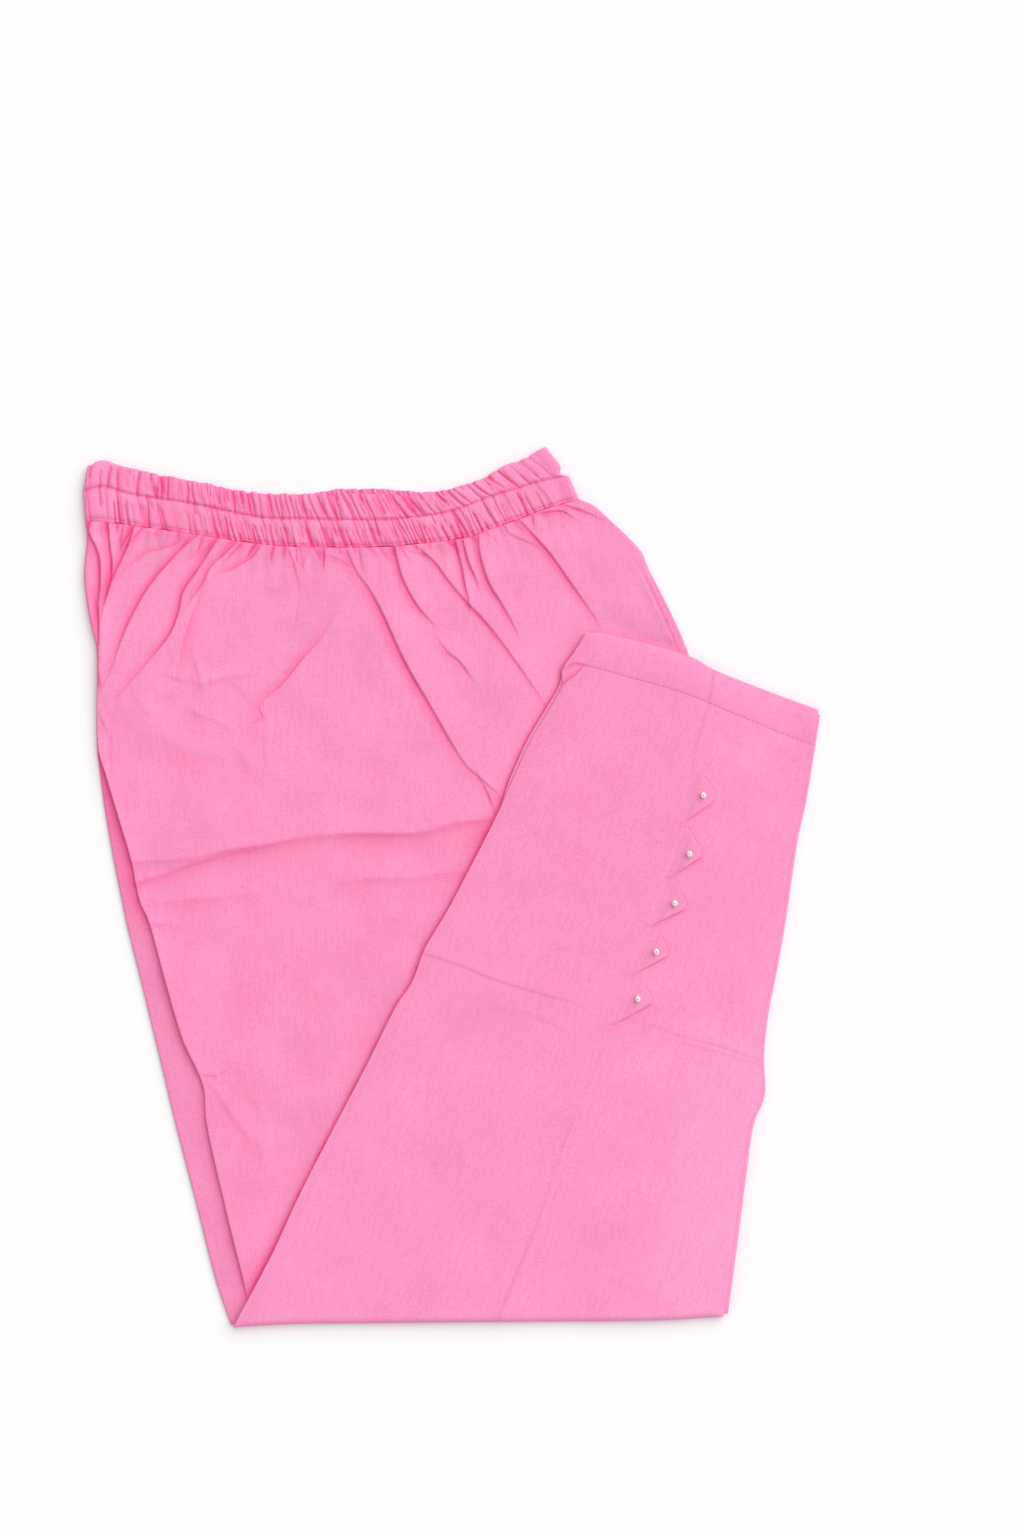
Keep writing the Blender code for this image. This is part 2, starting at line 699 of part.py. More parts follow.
def build_lower_leg_under(finish):
    """The hidden layers of the turned-up legs, as one rounded stack with a layered edge."""
    bottom = [(x, y + FOLD_CLEAR) for x, y in FOLD_EDGE[1:-1]]
    left = side_points(LEG_LEFT_SIDE, "under")
    right = side_points(LEG_RIGHT_SIDE, "under")
    outline = chain(
        spaced(left, EDGE_STEP),
        spaced([left[-1], *bottom, right[-1]], EDGE_STEP),
        spaced(right, EDGE_STEP)[::-1],
        spaced(HEM_EDGE, EDGE_STEP)[::-1],
    )
    rings = rim_rings(outline, STACK_RIM, leg_top, leg_under)
    lines = sink_lines()
    closed_solid("lower_leg_under", rings, lines + fold_lines(), lines, leg_top, leg_under, finish)


def panel_under(point):
    """The under side of the turned-up outer cloth."""
    return leg_under(point) + LEG_STACK + SEAM_GAP - fold_drop(point) + highest(LEG_FOLDS, point)


def panel_top(point):
    """The upper side of the turned-up outer cloth, thicker over the turned hem."""
    gap, _, side = distance_to(STITCH_LINE, point)
    hem = blend(gap * side, 0.0, HEM_SLOPE)
    return panel_under(point) + CLOTH + HEM_EXTRA * hem


def wrapped_rings(outline, on_fold):
    """Rings of a panel whose edge on the bottom fold runs down to the surface.

    `on_fold` says for each point of the outline whether its edge does.
    """
    rings = []
    for row in WRAP_RIM:
        insets = [SEAM_GAP / 2 + (row.fold_inset if wrap else row.inset) for wrap in on_fold]
        ring = []
        for point, wrap in zip(moved_in(outline, insets), on_fold):
            high, low = panel_top(point), panel_under(point)
            height = low + row.share * (high - low)
            if wrap:
                height = {"top": high, "under": low, "surface": 0.0}[row.fold_from] + row.fold_shift
            ring.append((point.x, point.y, height))
        rings.append(ring)
    return rings


def build_leg_panel(name, outline, finish):
    """One outer panel of the turned-up leg, down round the bottom fold."""
    on_fold = []
    for i, point in enumerate(outline):
        near = distance_to(FOLD_LINE, point)[0] < 0.3
        corner = max(
            distance_to(FOLD_LINE, outline[i - 1])[0],
            distance_to(FOLD_LINE, outline[(i + 1) % len(outline)])[0],
        ) > FOLD_CLEAR
        on_fold.append(near and not corner)
    lines = sink_lines() + fold_lines() + [line for fold in LEG_FOLDS for line in fold.lines()]
    hem = [beside(STITCH_LINE, shift) for shift in (0.0, -HEM_SLOPE)]
    rings = wrapped_rings(outline, on_fold)
    closed_solid(name, rings, lines + hem, lines, panel_top, panel_under, finish)


def end_steps(line, step, ends):
    """Points along a line, with one more close to each marked end."""
    total = lengths_along(line)
    count = max(1, round(total[-1] / step))
    places = [total[-1] * k / count for k in range(count + 1)]
    if ends[0]:
        places.insert(1, FOLD_END)
    if ends[1]:
        places.insert(-1, total[-1] - FOLD_END)
    return [point_along(line, total, place) for place in places]


def down_to_fold(points):
    """Points down a side of the leg, closer together where the cloth turns down at its end."""
    line = spaced(points, 2.0)
    total = lengths_along(line)
    count = round(total[-1] / EDGE_STEP)
    places = [total[-1] * k / count for k in range(count)]
    places += [total[-1] - share * FOLD_ROUND for share in (1.1, 0.5, 0.0)]
    return [point_along(line, total, place) for place in places]


def part_of(line, start, end):
    """The stretch of a line between two distances along it."""
    total = lengths_along(line)
    inner = [p for p, at in zip(line, total) if start < at < end]
    return [point_along(line, total, start), *inner, point_along(line, total, end)]


def build_leg_panels(finish):
    """The two outer panels of the turned-up leg, on either side of the side seam."""
    seam = down_to_fold([SEAM_TOP, *SIDE_SEAM[1:]])
    left_side = down_to_fold(side_points(LEG_LEFT_SIDE, "top") + [FOLD_EDGE[0]])
    right_side = down_to_fold(side_points(LEG_RIGHT_SIDE, "top") + [FOLD_EDGE[-1]])
    fold_at = distance_to(FOLD_LINE, seam[-1])[1]
    hem_at = distance_to(HEM_LINE, seam[0])[1]
    fold_end = lengths_along(FOLD_LINE)[-1]
    hem_end = lengths_along(HEM_LINE)[-1]
    left = chain(
        left_side,
        end_steps(part_of(FOLD_LINE, 0.0, fold_at), EDGE_STEP, (True, True)),
        seam[::-1],
        end_steps(part_of(HEM_LINE, 0.0, hem_at), EDGE_STEP, (False, False))[::-1],
    )
    right = chain(
        seam,
        end_steps(part_of(FOLD_LINE, fold_at, fold_end), EDGE_STEP, (True, True)),
        right_side[::-1],
        end_steps(part_of(HEM_LINE, hem_at, hem_end), EDGE_STEP, (False, False))[::-1],
    )
    build_leg_panel("lower_leg_left", left, finish)
    build_leg_panel("lower_leg_right", right, finish)


def loft(name, sections, finish):
    """A closed body through sections with the same number of points, closed at both ends."""
    count = len(sections[0])
    points = [point for section in sections for point in section]
    faces = []
    for k in range(len(sections) - 1):
        for i in range(count):
            j = (i + 1) % count
            faces.append([k * count + j, k * count + i, (k + 1) * count + i, (k + 1) * count + j])
    faces.append(list(range(count)))
    last = (len(sections) - 1) * count
    faces.append([last + i for i in range(count)][::-1])
    return add_object(name, points, faces, finish)


def band_places(count, rng):
    """Uneven places along the band as shares of its length, valleys and crests in turn."""
    widths = [rng.uniform(0.6, 1.4) for _ in range(2 * count)]
    total = sum(widths)
    places, walked = [0.0], 0.0
    for width in widths:
        walked += width
        places.append(walked / total)
    return places


def build_waistband_front(finish):
    """The front half of the band: two gathered channels on either side of the stitch row."""
    rng = random.Random(GATHER_SEED + 1)
    lines = [waist_line(column) for column in ("bottom", "centre", "top")]
    totals = [lengths_along(line) for line in lines]
    places = band_places(BAND_GATHERS, rng)
    last = len(places) - 1
    sections = []
    for j, place in enumerate(places):
        low, mid, high = (point_along(l, t, t[-1] * place) for l, t in zip(lines, totals))
        lower_crest = (j % 2) * rng.uniform(*CREST_RANGE)
        upper_crest = ((j + j // OUT_OF_STEP) % 2) * rng.uniform(*CREST_RANGE)
        closing = min(1.0, 0.35 + 0.65 * min(j, last - j) / 3.0)
        section = []
        for row in BAND_ROWS:
            if row.across < 0.5:
                spot = low.lerp(mid, row.across / 0.5)
            else:
                spot = mid.lerp(high, (row.across - 0.5) / 0.5)
            crest = lower_crest if row.across < 0.5 else upper_crest
            bump = 0.7 * (crest - 0.4) if row.across > 0.9 else 0.0
            spot = spot + (high - low).normalized() * (SEAM_GAP / 2 + bump)
            height = (row.height + row.gather * crest) * closing
            section.append((spot.x, spot.y, FRONT_LEVEL + height))
        for row, inset in ((BAND_ROWS[-2], -0.5), (BAND_ROWS[1], 0.5)):
            spot = low.lerp(mid, row.across / 0.5) if row.across < 0.5 else mid.lerp(high, 0.93)
            spot = spot + (high - low).normalized() * (SEAM_GAP / 2 + inset)
            section.append((spot.x, spot.y, FRONT_LEVEL))
        sections.append(section)
    loft("waistband_front", sections, finish)


def build_waistband_back(finish):
    """The back half of the band, under the front half and a little above it in places."""
    rng = random.Random(GATHER_SEED + 2)
    lines = [waist_line("bottom"), waist_line("top")]
    totals = [lengths_along(line) for line in lines]
    shows = curve_through([(i, row.back_shows) for i, row in enumerate(WAIST)])
    places = band_places(BAND_GATHERS // 2, rng)
    last = len(places) - 1
    sections = []
    for j, place in enumerate(places):
        low, high = (point_along(l, t, t[-1] * place) for l, t in zip(lines, totals))
        crest = (j % 2) * rng.uniform(*CREST_RANGE)
        across = (high - low).normalized()
        high = high + across * (shows[round(place * (len(shows) - 1))].y + 0.9 * crest)
        closing = min(1.0, 0.4 + 0.6 * min(j, last - j) / 2.0)
        section = []
        for row in BACK_BAND_ROWS:
            spot = low.lerp(high, row.across) + across * SEAM_GAP / 2
            section.append((spot.x, spot.y, BAND_BACK * row.share * closing))
        sections.append(section)
    loft("waistband_back", sections, finish)


def build_tab(name, tab, finish):
    """A folded triangle of cloth with a blunt tip on the panel, its base on the side seam."""
    corners = [Vector(spot) for spot in (tab.base_top, tab.base_bottom, tab.tip, tab.shoulder)]
    outline = chain(*[
        spaced([tuple(a), tuple(b)], EDGE_STEP) for a, b in zip(corners, corners[1:] + corners[:1])
    ])
    level = max(panel_top(point) for point in outline) + SEAM_GAP

    def under(_point):
        return level

    def top(_point):
        return level + TAB_THICKNESS

    closed_solid(name, rim_rings(outline, WALL_RIM, top, under), [], [], top, under, finish)
    return level + TAB_THICKNESS


def build_pearl(name, centre, seat, finish):
    """A round bead with its hole upright, turned about that hole."""
    middle = 0.5 * (PEARL_RADIUS + PEARL_HOLE)
    half_width = 0.5 * (PEARL_RADIUS - PEARL_HOLE)
    half_height = 0.92 * PEARL_RADIUS
    profile = []
    for k in range(PEARL_ROWS):
        angle = 2 * math.pi * (k + 0.5) / PEARL_ROWS
        profile.append((middle + half_width * math.cos(angle), half_height * math.sin(angle)))
    points, faces = [], []
    for s in range(PEARL_SIDES):
        turn = 2 * math.pi * s / PEARL_SIDES
        for radius, up in profile:
            spot = (centre[0] + radius * math.cos(turn), centre[1] + radius * math.sin(turn))
            points.append((*spot, seat + SEAM_GAP + half_height + up))
    rows = len(profile)
    for s in range(PEARL_SIDES):
        t = (s + 1) % PEARL_SIDES
        for k in range(rows):
            j = (k + 1) % rows
            faces.append([s * rows + k, t * rows + k, t * rows + j, s * rows + j])
    add_object(name, points, faces, finish)


LEG_FAR_EDGE = curve_through(side_points(LEG_RIGHT_SIDE, "top"))
LEG_OUTLINE = LEG_EDGE + FOLD_LINE + LEG_FAR_EDGE[::-1] + HEM_LINE[::-1]
LEG_FOLDS = [Crease(fold) for fold in LEG_CREASES]
SEAM_TO_HEM = distance_to(HEM_LINE, Vector(SIDE_SEAM[0]))[1]
SEAM_TOP = tuple(point_along(HEM_LINE, lengths_along(HEM_LINE), SEAM_TO_HEM))


def main():
    remove_everything()
    cotton = material("cotton", (0.96, 0.25, 0.52), 0.85)
    cotton_inside = material("cotton_inside", (0.9, 0.22, 0.47), 0.88)
    pearl = material("pearl", (0.92, 0.87, 0.76), 0.2)
    build_back_panels(cotton_inside)
    build_fronts(cotton)
    build_waistband_back(cotton_inside)
    build_waistband_front(cotton)
    build_lower_leg_under(cotton_inside)
    build_leg_panels(cotton)
    for number, tab in enumerate(TABS, start=1):
        seat = build_tab(f"tab_{number}", tab, cotton)
        build_pearl(f"pearl_{number}", tab.pearl, seat, pearl)


main()
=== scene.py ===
"""The looks of folded pink pyjama pants: creased cloth, gathered waistband, stitches, tabs, pearls.

Lengths are in millimetres until a mesh is made. The frame is the CAD's: +Z up, +Y towards the
waistband and +X to the right of someone who looks down at the pants.
"""
import math
from collections import namedtuple

import bpy
import numpy as np
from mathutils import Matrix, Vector, kdtree
from mathutils.geometry import delaunay_2d_cdt


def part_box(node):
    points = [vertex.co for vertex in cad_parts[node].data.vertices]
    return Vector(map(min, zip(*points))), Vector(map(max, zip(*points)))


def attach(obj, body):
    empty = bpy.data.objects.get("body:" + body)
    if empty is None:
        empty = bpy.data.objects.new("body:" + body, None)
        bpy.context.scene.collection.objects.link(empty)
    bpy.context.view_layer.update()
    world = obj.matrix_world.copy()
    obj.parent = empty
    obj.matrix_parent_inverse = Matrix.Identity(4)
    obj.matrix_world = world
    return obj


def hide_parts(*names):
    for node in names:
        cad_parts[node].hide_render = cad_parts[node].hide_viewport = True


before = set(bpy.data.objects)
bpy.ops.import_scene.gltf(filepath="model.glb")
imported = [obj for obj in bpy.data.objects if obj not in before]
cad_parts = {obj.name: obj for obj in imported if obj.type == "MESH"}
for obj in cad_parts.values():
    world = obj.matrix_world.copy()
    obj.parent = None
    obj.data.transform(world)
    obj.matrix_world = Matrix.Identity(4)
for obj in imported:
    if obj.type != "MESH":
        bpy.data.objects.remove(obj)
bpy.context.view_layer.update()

MM = 0.001

# Levels of the layers, as the CAD stacks them
CLOTH = 1.0
SEAM_GAP = 0.3
BACK_STACK = 2.4
LEG_STACK = 2.4
HEM_EXTRA = 0.45
FRONT_LEVEL = BACK_STACK + SEAM_GAP
LEG_LEVEL = FRONT_LEVEL + CLOTH + SEAM_GAP

# Where the turned-up leg reaches past the body it sinks to the surface
SINK_START = 2.0
SINK_LENGTH = 22.0

# The shells of cloth: their thickness, how high the open body lies above its lowest place, how high its
# folds reach at most, and how deep they go where it is pressed
THIN = 0.55
OPEN_LOFT = 1.15
CREST_LIMIT = 3.3
PRESSED_DEPTH = 0.55

# How high and deep the folds are against the tables; up to which height a fold is soft and how much higher
# a sharp one is; and how wide the steep wall of each is against its foot, how wide the crest is above it,
# and how far the gentle side and the trough go on
FOLD_HEIGHT = 0.6
FOLD_DEPTH = 0.56
SOFT_HEIGHT = 0.4
SHARPER_BY = 0.8
SHARP_WALL = 0.34
SOFT_WALL = 1.5
CREST_ROUND = 0.8
GENTLE_REACH = 1.5
TROUGH_REACH = 2.2

# Along its route a crease grows over a share of its length, fades from another and changes a little in
# height; past its ends it fades within a few millimetres
QUICK_GROWTH = 0.3
SLOW_GROWTH = 0.6
FADE_FROM = 0.45
END_REACH = 4.0
UNEVEN = 0.2
UNEVEN_LENGTH = 7.0

# The same for a pressed edge
LEDGE_GROWTH = 0.4
LEDGE_FADE_FROM = 0.6
LEDGE_END_REACH = 5.0
LEDGE_UNEVEN = 0.25
LEDGE_UNEVEN_LENGTH = 13.0

# How much shade is painted on the line of a sharp crease, the foot beside it, the pressed cloth below it and
# on a pressed edge, how wide it reaches, and the height and depth of a crease with all of that
LINE_SHADE = 0.52
LINE_REACH = 0.45
FOOT_SHADE = 0.24
SHARP_FOOT_SHADE = 0.14
SHADE_REACH = 1.1
WALL_SHADE_REACH = 0.25
POOL_SHADE = 0.27
FULL_SHADE_SIZE = 2.6
LEDGE_SHADE = 0.22
LEDGE_SHADE_FALL = 0.9

# Broad swells of the cloth and the mottling of its colour: how many waves each is made of; and the seed,
# the shortest and the longest wave, and the height of each
WAVES = 10
BODY_SWELLS = ((3, 40, 130, 0.9), (4, 12, 34, 0.16))
BODY_MOTTLING = (7, 14, 60, 0.07)
LEG_SWELLS = ((5, 45, 140, 0.38), (6, 12, 32, 0.04))
LEG_MOTTLING = (8, 20, 70, 0.045)

# Beside the leg the body is pressed flat: how far from it the creases and the cloth itself have risen
PRESSED = 1.2
CREASES_RISEN = 9.0
CLOTH_RISEN = 24.0

# At the waist seam the cloth is drawn in, with flatter folds, and puffs up unevenly beside it; and between
# two heights it rolls up at the left edge
SEAM_DRAWN = 0.3
SEAM_FLATTER = 0.2
SEAM_REACH = 2.0
PUFF_HEIGHT = 1.3
PUFF_REACH = 13.0
PUFF_WAVERS = (0.7, 2.3, 5.3, 1.0)
ROLL_HEIGHT = 1.2
ROLL_REACH = 5.0
ROLLED = ((-135, -95), (70, 100))

# How much darker the body is painted all over and at its lower end, how much shade is painted at the waist
# seam, more broadly below it and at the top of its left edge, and how far each of these reaches
BODY_SHADE = 0.02
LOW_BODY_SHADE = 0.05
LOW_BODY = (-60, 60)
SEAM_SHADE = 0.3
SEAM_SHADE_REACH = 1.0
SEAM_SHADE_WAVERS = (0.8, 1.7, 4.1)
BELOW_SEAM_SHADE = 0.1
BELOW_SEAM_REACH = 9.0
LEFT_EDGE_SHADE = 0.35
LEFT_EDGE_REACH = 1.5
LEFT_EDGE_DEEPER = (150, 175)

# The shadow of the leg painted on the body along its edge: a line and a broader shade, which end near the
# hem, and how much deeper the shade is at some heights, with the reach of each
LEG_LINE_SHADE = 0.7
LEG_LINE_REACH = 1.2
LEG_FOOT_SHADE = 0.08
LEG_FOOT_REACH = 6.0
BESIDE_LEG = (76, 88)
DEEPER_SHADE = 0.55
DEEPER_BESIDE_LEG = ((30, 22), (-246, 26))

# The leg's outer cloth falls slowly beside the body, over the layers that thicken below it
LEG_FALL = 2.6
FALL_START = -12.0
FALL_END = 62.0

# Along the edge on the body the leg is pressed down, and left of the tabs its panel lies higher, between
# two distances from the side seam
LEG_PRESS = 0.8
LEG_PRESS_REACH = 4.5
TAB_PANEL_RISE = 0.25
TAB_PANEL_UP = (-16.0, -1.0)
TAB_PANEL_DOWN = (-1.2, 0.8)

# The side seam, and the heights between which tabs cover it. Elsewhere it has a ridge on its right, a
# groove, and a strip on its right that the turned edges inside raise
TABS_COVER = ((-96, -88), (80, 88))
SEAM_RIDGE = 0.3
SEAM_RIDGE_AT = 1.2
SEAM_RIDGE_REACH = 0.8
SEAM_GROOVE = 0.14
GROOVE_REACH = 0.6
SEAM_ALLOWANCE = 0.15
ALLOWANCE_UP = (0.5, 2.5)
ALLOWANCE_DOWN = (10.0, 12.0)

# The hem is thicker from its stitch row on, which lies in a groove
HEM_RISES = (-1.0, 9.0)
STITCH_GROOVE = 0.15

# How much shade is painted in the side seam at its lower and its upper end and in the stitch row, and as
# shadow beside the tabs' upper and lower edges, and how far each reaches
LOW_SEAM_SHADE = 0.2
LOW_SEAM = (-235, -205)
HIGH_SEAM_SHADE = 0.16
HIGH_SEAM = (80, 95)
SIDE_SEAM_REACH = 0.6
STITCH_SHADE = 0.22
STITCH_REACH = 0.5
TAB_UPPER_SHADE = 0.25
TAB_UPPER_REACH = 0.7
TAB_LOWER_SHADE = 0.2
TAB_LOWER_REACH = 2.2

# How much darker the leg is painted above, and how much painted light it has at its hem and towards its
# right, mostly below
LEG_ABOVE_SHADE = 0.05
LEG_BELOW = (-170, -20)
LEG_PALER = 0.2
LEG_PALER_ABOVE = 0.35
TOWARDS_RIGHT = (80, 190)
HEM_PALER = 0.14
HEM_PALER_REACH = 1.2

# How far below the leg's outer cloth the layers that show beside it lie; how far from its edge they show
# so, at its right from some way above the fold, and at its left between two heights; and how much lower
# they are where the cloth turns at the fold
LAYER_STEP = 0.35
LAYERS_REACH = 2.5
LAYERS_AT_RIGHT = (4.0, 16.0)
LAYERS_AT_LEFT = ((50, 70), (130, 138))
TURN_LOWER = 1.6
TURN_LOWER_REACH = 8.0

# How much shade is painted on those layers at the leg's right and left edge, how far that reaches, and how
# much painted light they have further out at the right
LAYERS_RIGHT_SHADE = 0.2
LAYERS_RIGHT_REACH = 0.5
LAYERS_LEFT_SHADE = 0.6
LAYERS_LEFT_REACH = 0.35
LAYERS_PALER = 0.16
LAYERS_PALER_OUT = (0.3, 1.2)

# How far the layers stay back from the hem at its right end, and where that begins and is complete; and how
# much lower the edge of the body's hidden stack is than the rest of it
HEM_HELD_BACK = 3.5
HEM_HELD_FROM = (195, 236)
BACK_ROUNDED = 0.35

# The shadow of the body's front painted on the hidden stack beside it, how far that reaches, how much more
# both are above two heights, and how far from the front's edge the stack has fine points
BACK_SHADE = 0.36
BACK_SHADE_REACH = 3.5
BACK_SHADE_MORE = 0.4
BACK_REACH_MORE = 4.5
BACK_DEEPER = (-45, -5)
BACK_FINE_REACH = 12.0

# The rounded turn of the cloth at the bottom fold: how far it reaches, and at its two corners, how long a
# corner is, below which height the edges take part, and how far the layers inside it stay back
TURN_REACH = 4.2
CORNER_REACH = 0.7
TURN_CORNER = 10.0
TURNS_BELOW = -200
INNER_CLEAR = 4.6

# Spacing of points: along outlines, along creases, and beside creases, the side seam, the stitch row and
# the tabs; along lines that are only measured from; and on the cloth from its finest part outwards
EDGE_STEP = 1.3
LINE_STEP = 0.8
BESIDE_LINE = 0.6
BESIDE_SEAM = 1.4
BESIDE_STITCHES = 0.7
BESIDE_TAB = 0.9
MEASURE_STEP = 5.0
ROUGH_STEP = 12.0
GATHERED_STEP = 1.0
CREASED_STEP = 1.35
SMOOTH_STEP = 2.1
HIDDEN_STEP = 6.0
GATHERED_REACH = 26.0
GATHERED_ABOVE = 180.0
SMOOTH_BELOW = -35.0

# The side of a cell in which the lowest place of an upper face is looked up
CELL = 3.0

# Sections across the body: where the upper cloth and the layer under it end on each side
Section = namedtuple("Section", "y top under")
LEFT_SIDE = [Section(*row) for row in (
    (237.5, -238.5, -238.5), (228.0, -237.0, -237.5), (204.5, -239.0, -239.5), (188.0, -237.5, -238.0),
    (171.0, -234.5, -235.0), (155.5, -231.0, -231.5), (112.0, -231.0, -231.5), (89.0, -230.0, -231.0),
    (72.5, -225.0, -229.0), (50.5, -218.5, -226.0), (16.5, -208.5, -220.0), (-8.0, -203.5, -215.0),
    (-23.0, -197.0, -212.0), (-59.0, -187.0, -203.0), (-98.0, -175.5, -193.5), (-129.0, -162.0, -186.0),
    (-152.0, -160.0, -180.5), (-204.0, -148.5, -167.0), (-255.0, -136.0, -154.0), (-283.5, -130.0, -144.5),
)]
RIGHT_SIDE = [Section(*row) for row in (
    (252.5, 82.5, 82.5), (249.0, 91.0, 91.5), (241.0, 100.5, 101.0), (219.5, 121.5, 122.5),
    (206.5, 127.5, 128.5), (188.0, 135.5, 138.0), (166.0, 145.0, 148.5), (152.0, 150.0, 154.0),
    (122.0, 159.0, 163.0), (83.0, 167.0, 171.0), (31.0, 173.0, 177.0), (-28.0, 177.0, 181.0),
    (-158.0, 179.0, 183.0), (-223.0, 178.0, 181.5), (-276.5, 175.5, 178.0),
)]

# The corner at the bottom left, where the leg starts to turn up
APEX = (-143.8, -284.6)

# Sections across the turned-up leg: where its upper cloth and the layers under it end
LEG_LEFT_SIDE = [Section(*row) for row in (
    (165.5, 87.0, 87.5), (153.5, 79.5, 80.0), (141.5, 71.5, 72.0), (131.0, 71.3, 69.3), (115.5, 62.8, 60.3),
    (95.0, 50.8, 48.3), (70.0, 39.3, 37.2), (45.0, 28.0, 28.5), (8.0, 9.0, 9.5), (-15.5, -3.5, -3.0),
    (-40.0, -18.0, -17.5), (-61.0, -26.0, -25.5), (-77.0, -36.5, -36.0), (-115.0, -55.5, -55.0),
    (-195.0, -97.0, -96.5), (-239.0, -117.5, -117.0), (-284.0, -141.5, -140.5),
)]
LEG_RIGHT_SIDE = [Section(*row) for row in (
    (115.5, 238.5, 240.0), (92.5, 234.5, 236.5), (56.0, 228.5, 230.5), (31.0, 222.5, 225.0),
    (-26.0, 214.0, 216.5), (-59.0, 208.0, 210.5), (-81.0, 203.0, 206.0), (-109.5, 201.0, 203.0),
    (-135.0, 201.5, 203.5), (-152.5, 194.0, 196.5), (-182.0, 189.0, 192.0), (-221.0, 184.0, 187.0),
    (-277.0, 176.7, 179.5),
)]

# Lines that run across or along the cloth, as points (x, y) from left to right or from the top down
FOLD_EDGE = [(-142.5, -286.0), (-107, -284.0), (-71, -283.5), (27, -282.5), (135, -281.5), (176.5, -279.0)]
HEM_EDGE = [
    (87, 165.5), (97, 165.5), (112.5, 162), (155.5, 150), (169.5, 142), (207.5, 127), (238.5, 115.5),
]
HEM_STITCH = [(76, 143.5), (86, 144.5), (112.5, 137.5), (152, 126), (183.5, 113), (234, 92.5)]

# Sections across the waistband, from left to right, and how far its back half shows above it
BandSection = namedtuple("BandSection", "bottom_x bottom_y centre_x centre_y top_x top_y back_shows")
WAIST = [BandSection(*row) for row in (
    (-238.5, 238.0, -240.0, 257.5, -237.0, 273.5, -1.5),
    (-227.0, 238.0, -227.0, 260.5, -225.5, 276.5, -1.5),
    (-208.5, 235.5, -208.5, 255.5, -208.5, 272.0, -1.5),
    (-169.0, 230.0, -169.0, 249.5, -169.0, 264.0, -1.5),
    (-125.0, 223.5, -125.0, 240.5, -125.0, 256.0, -1.5), (-97.0, 221.5, -97.0, 239.5, -97.0, 255.5, -1.5),
    (-46.0, 221.5, -46.0, 239.0, -46.0, 255.5, -1.0), (-23.0, 223.5, -23.0, 241.0, -23.0, 255.0, 3.5),
    (-4.0, 225.5, -5.0, 243.5, -7.0, 257.5, 4.0), (12.5, 228.5, 12.0, 249.0, 10.0, 262.0, 3.0),
    (26.0, 233.5, 24.5, 254.0, 22.0, 266.5, -0.5), (45.0, 240.0, 40.0, 258.5, 35.0, 273.5, -1.5),
    (58.5, 245.5, 54.0, 263.0, 47.0, 278.0, -1.5), (82.5, 252.5, 76.0, 268.0, 61.5, 285.5, -1.5),
)]

# The waistband's right end is drawn in at its centre row: how far, at what share of the band's width,
# how much of the width takes part, and how much of the length
END_DIP = 3.6
END_DIP_SHARE = 0.58
END_DIP_REACH = 0.07
END_DIP_LENGTH = 14.0
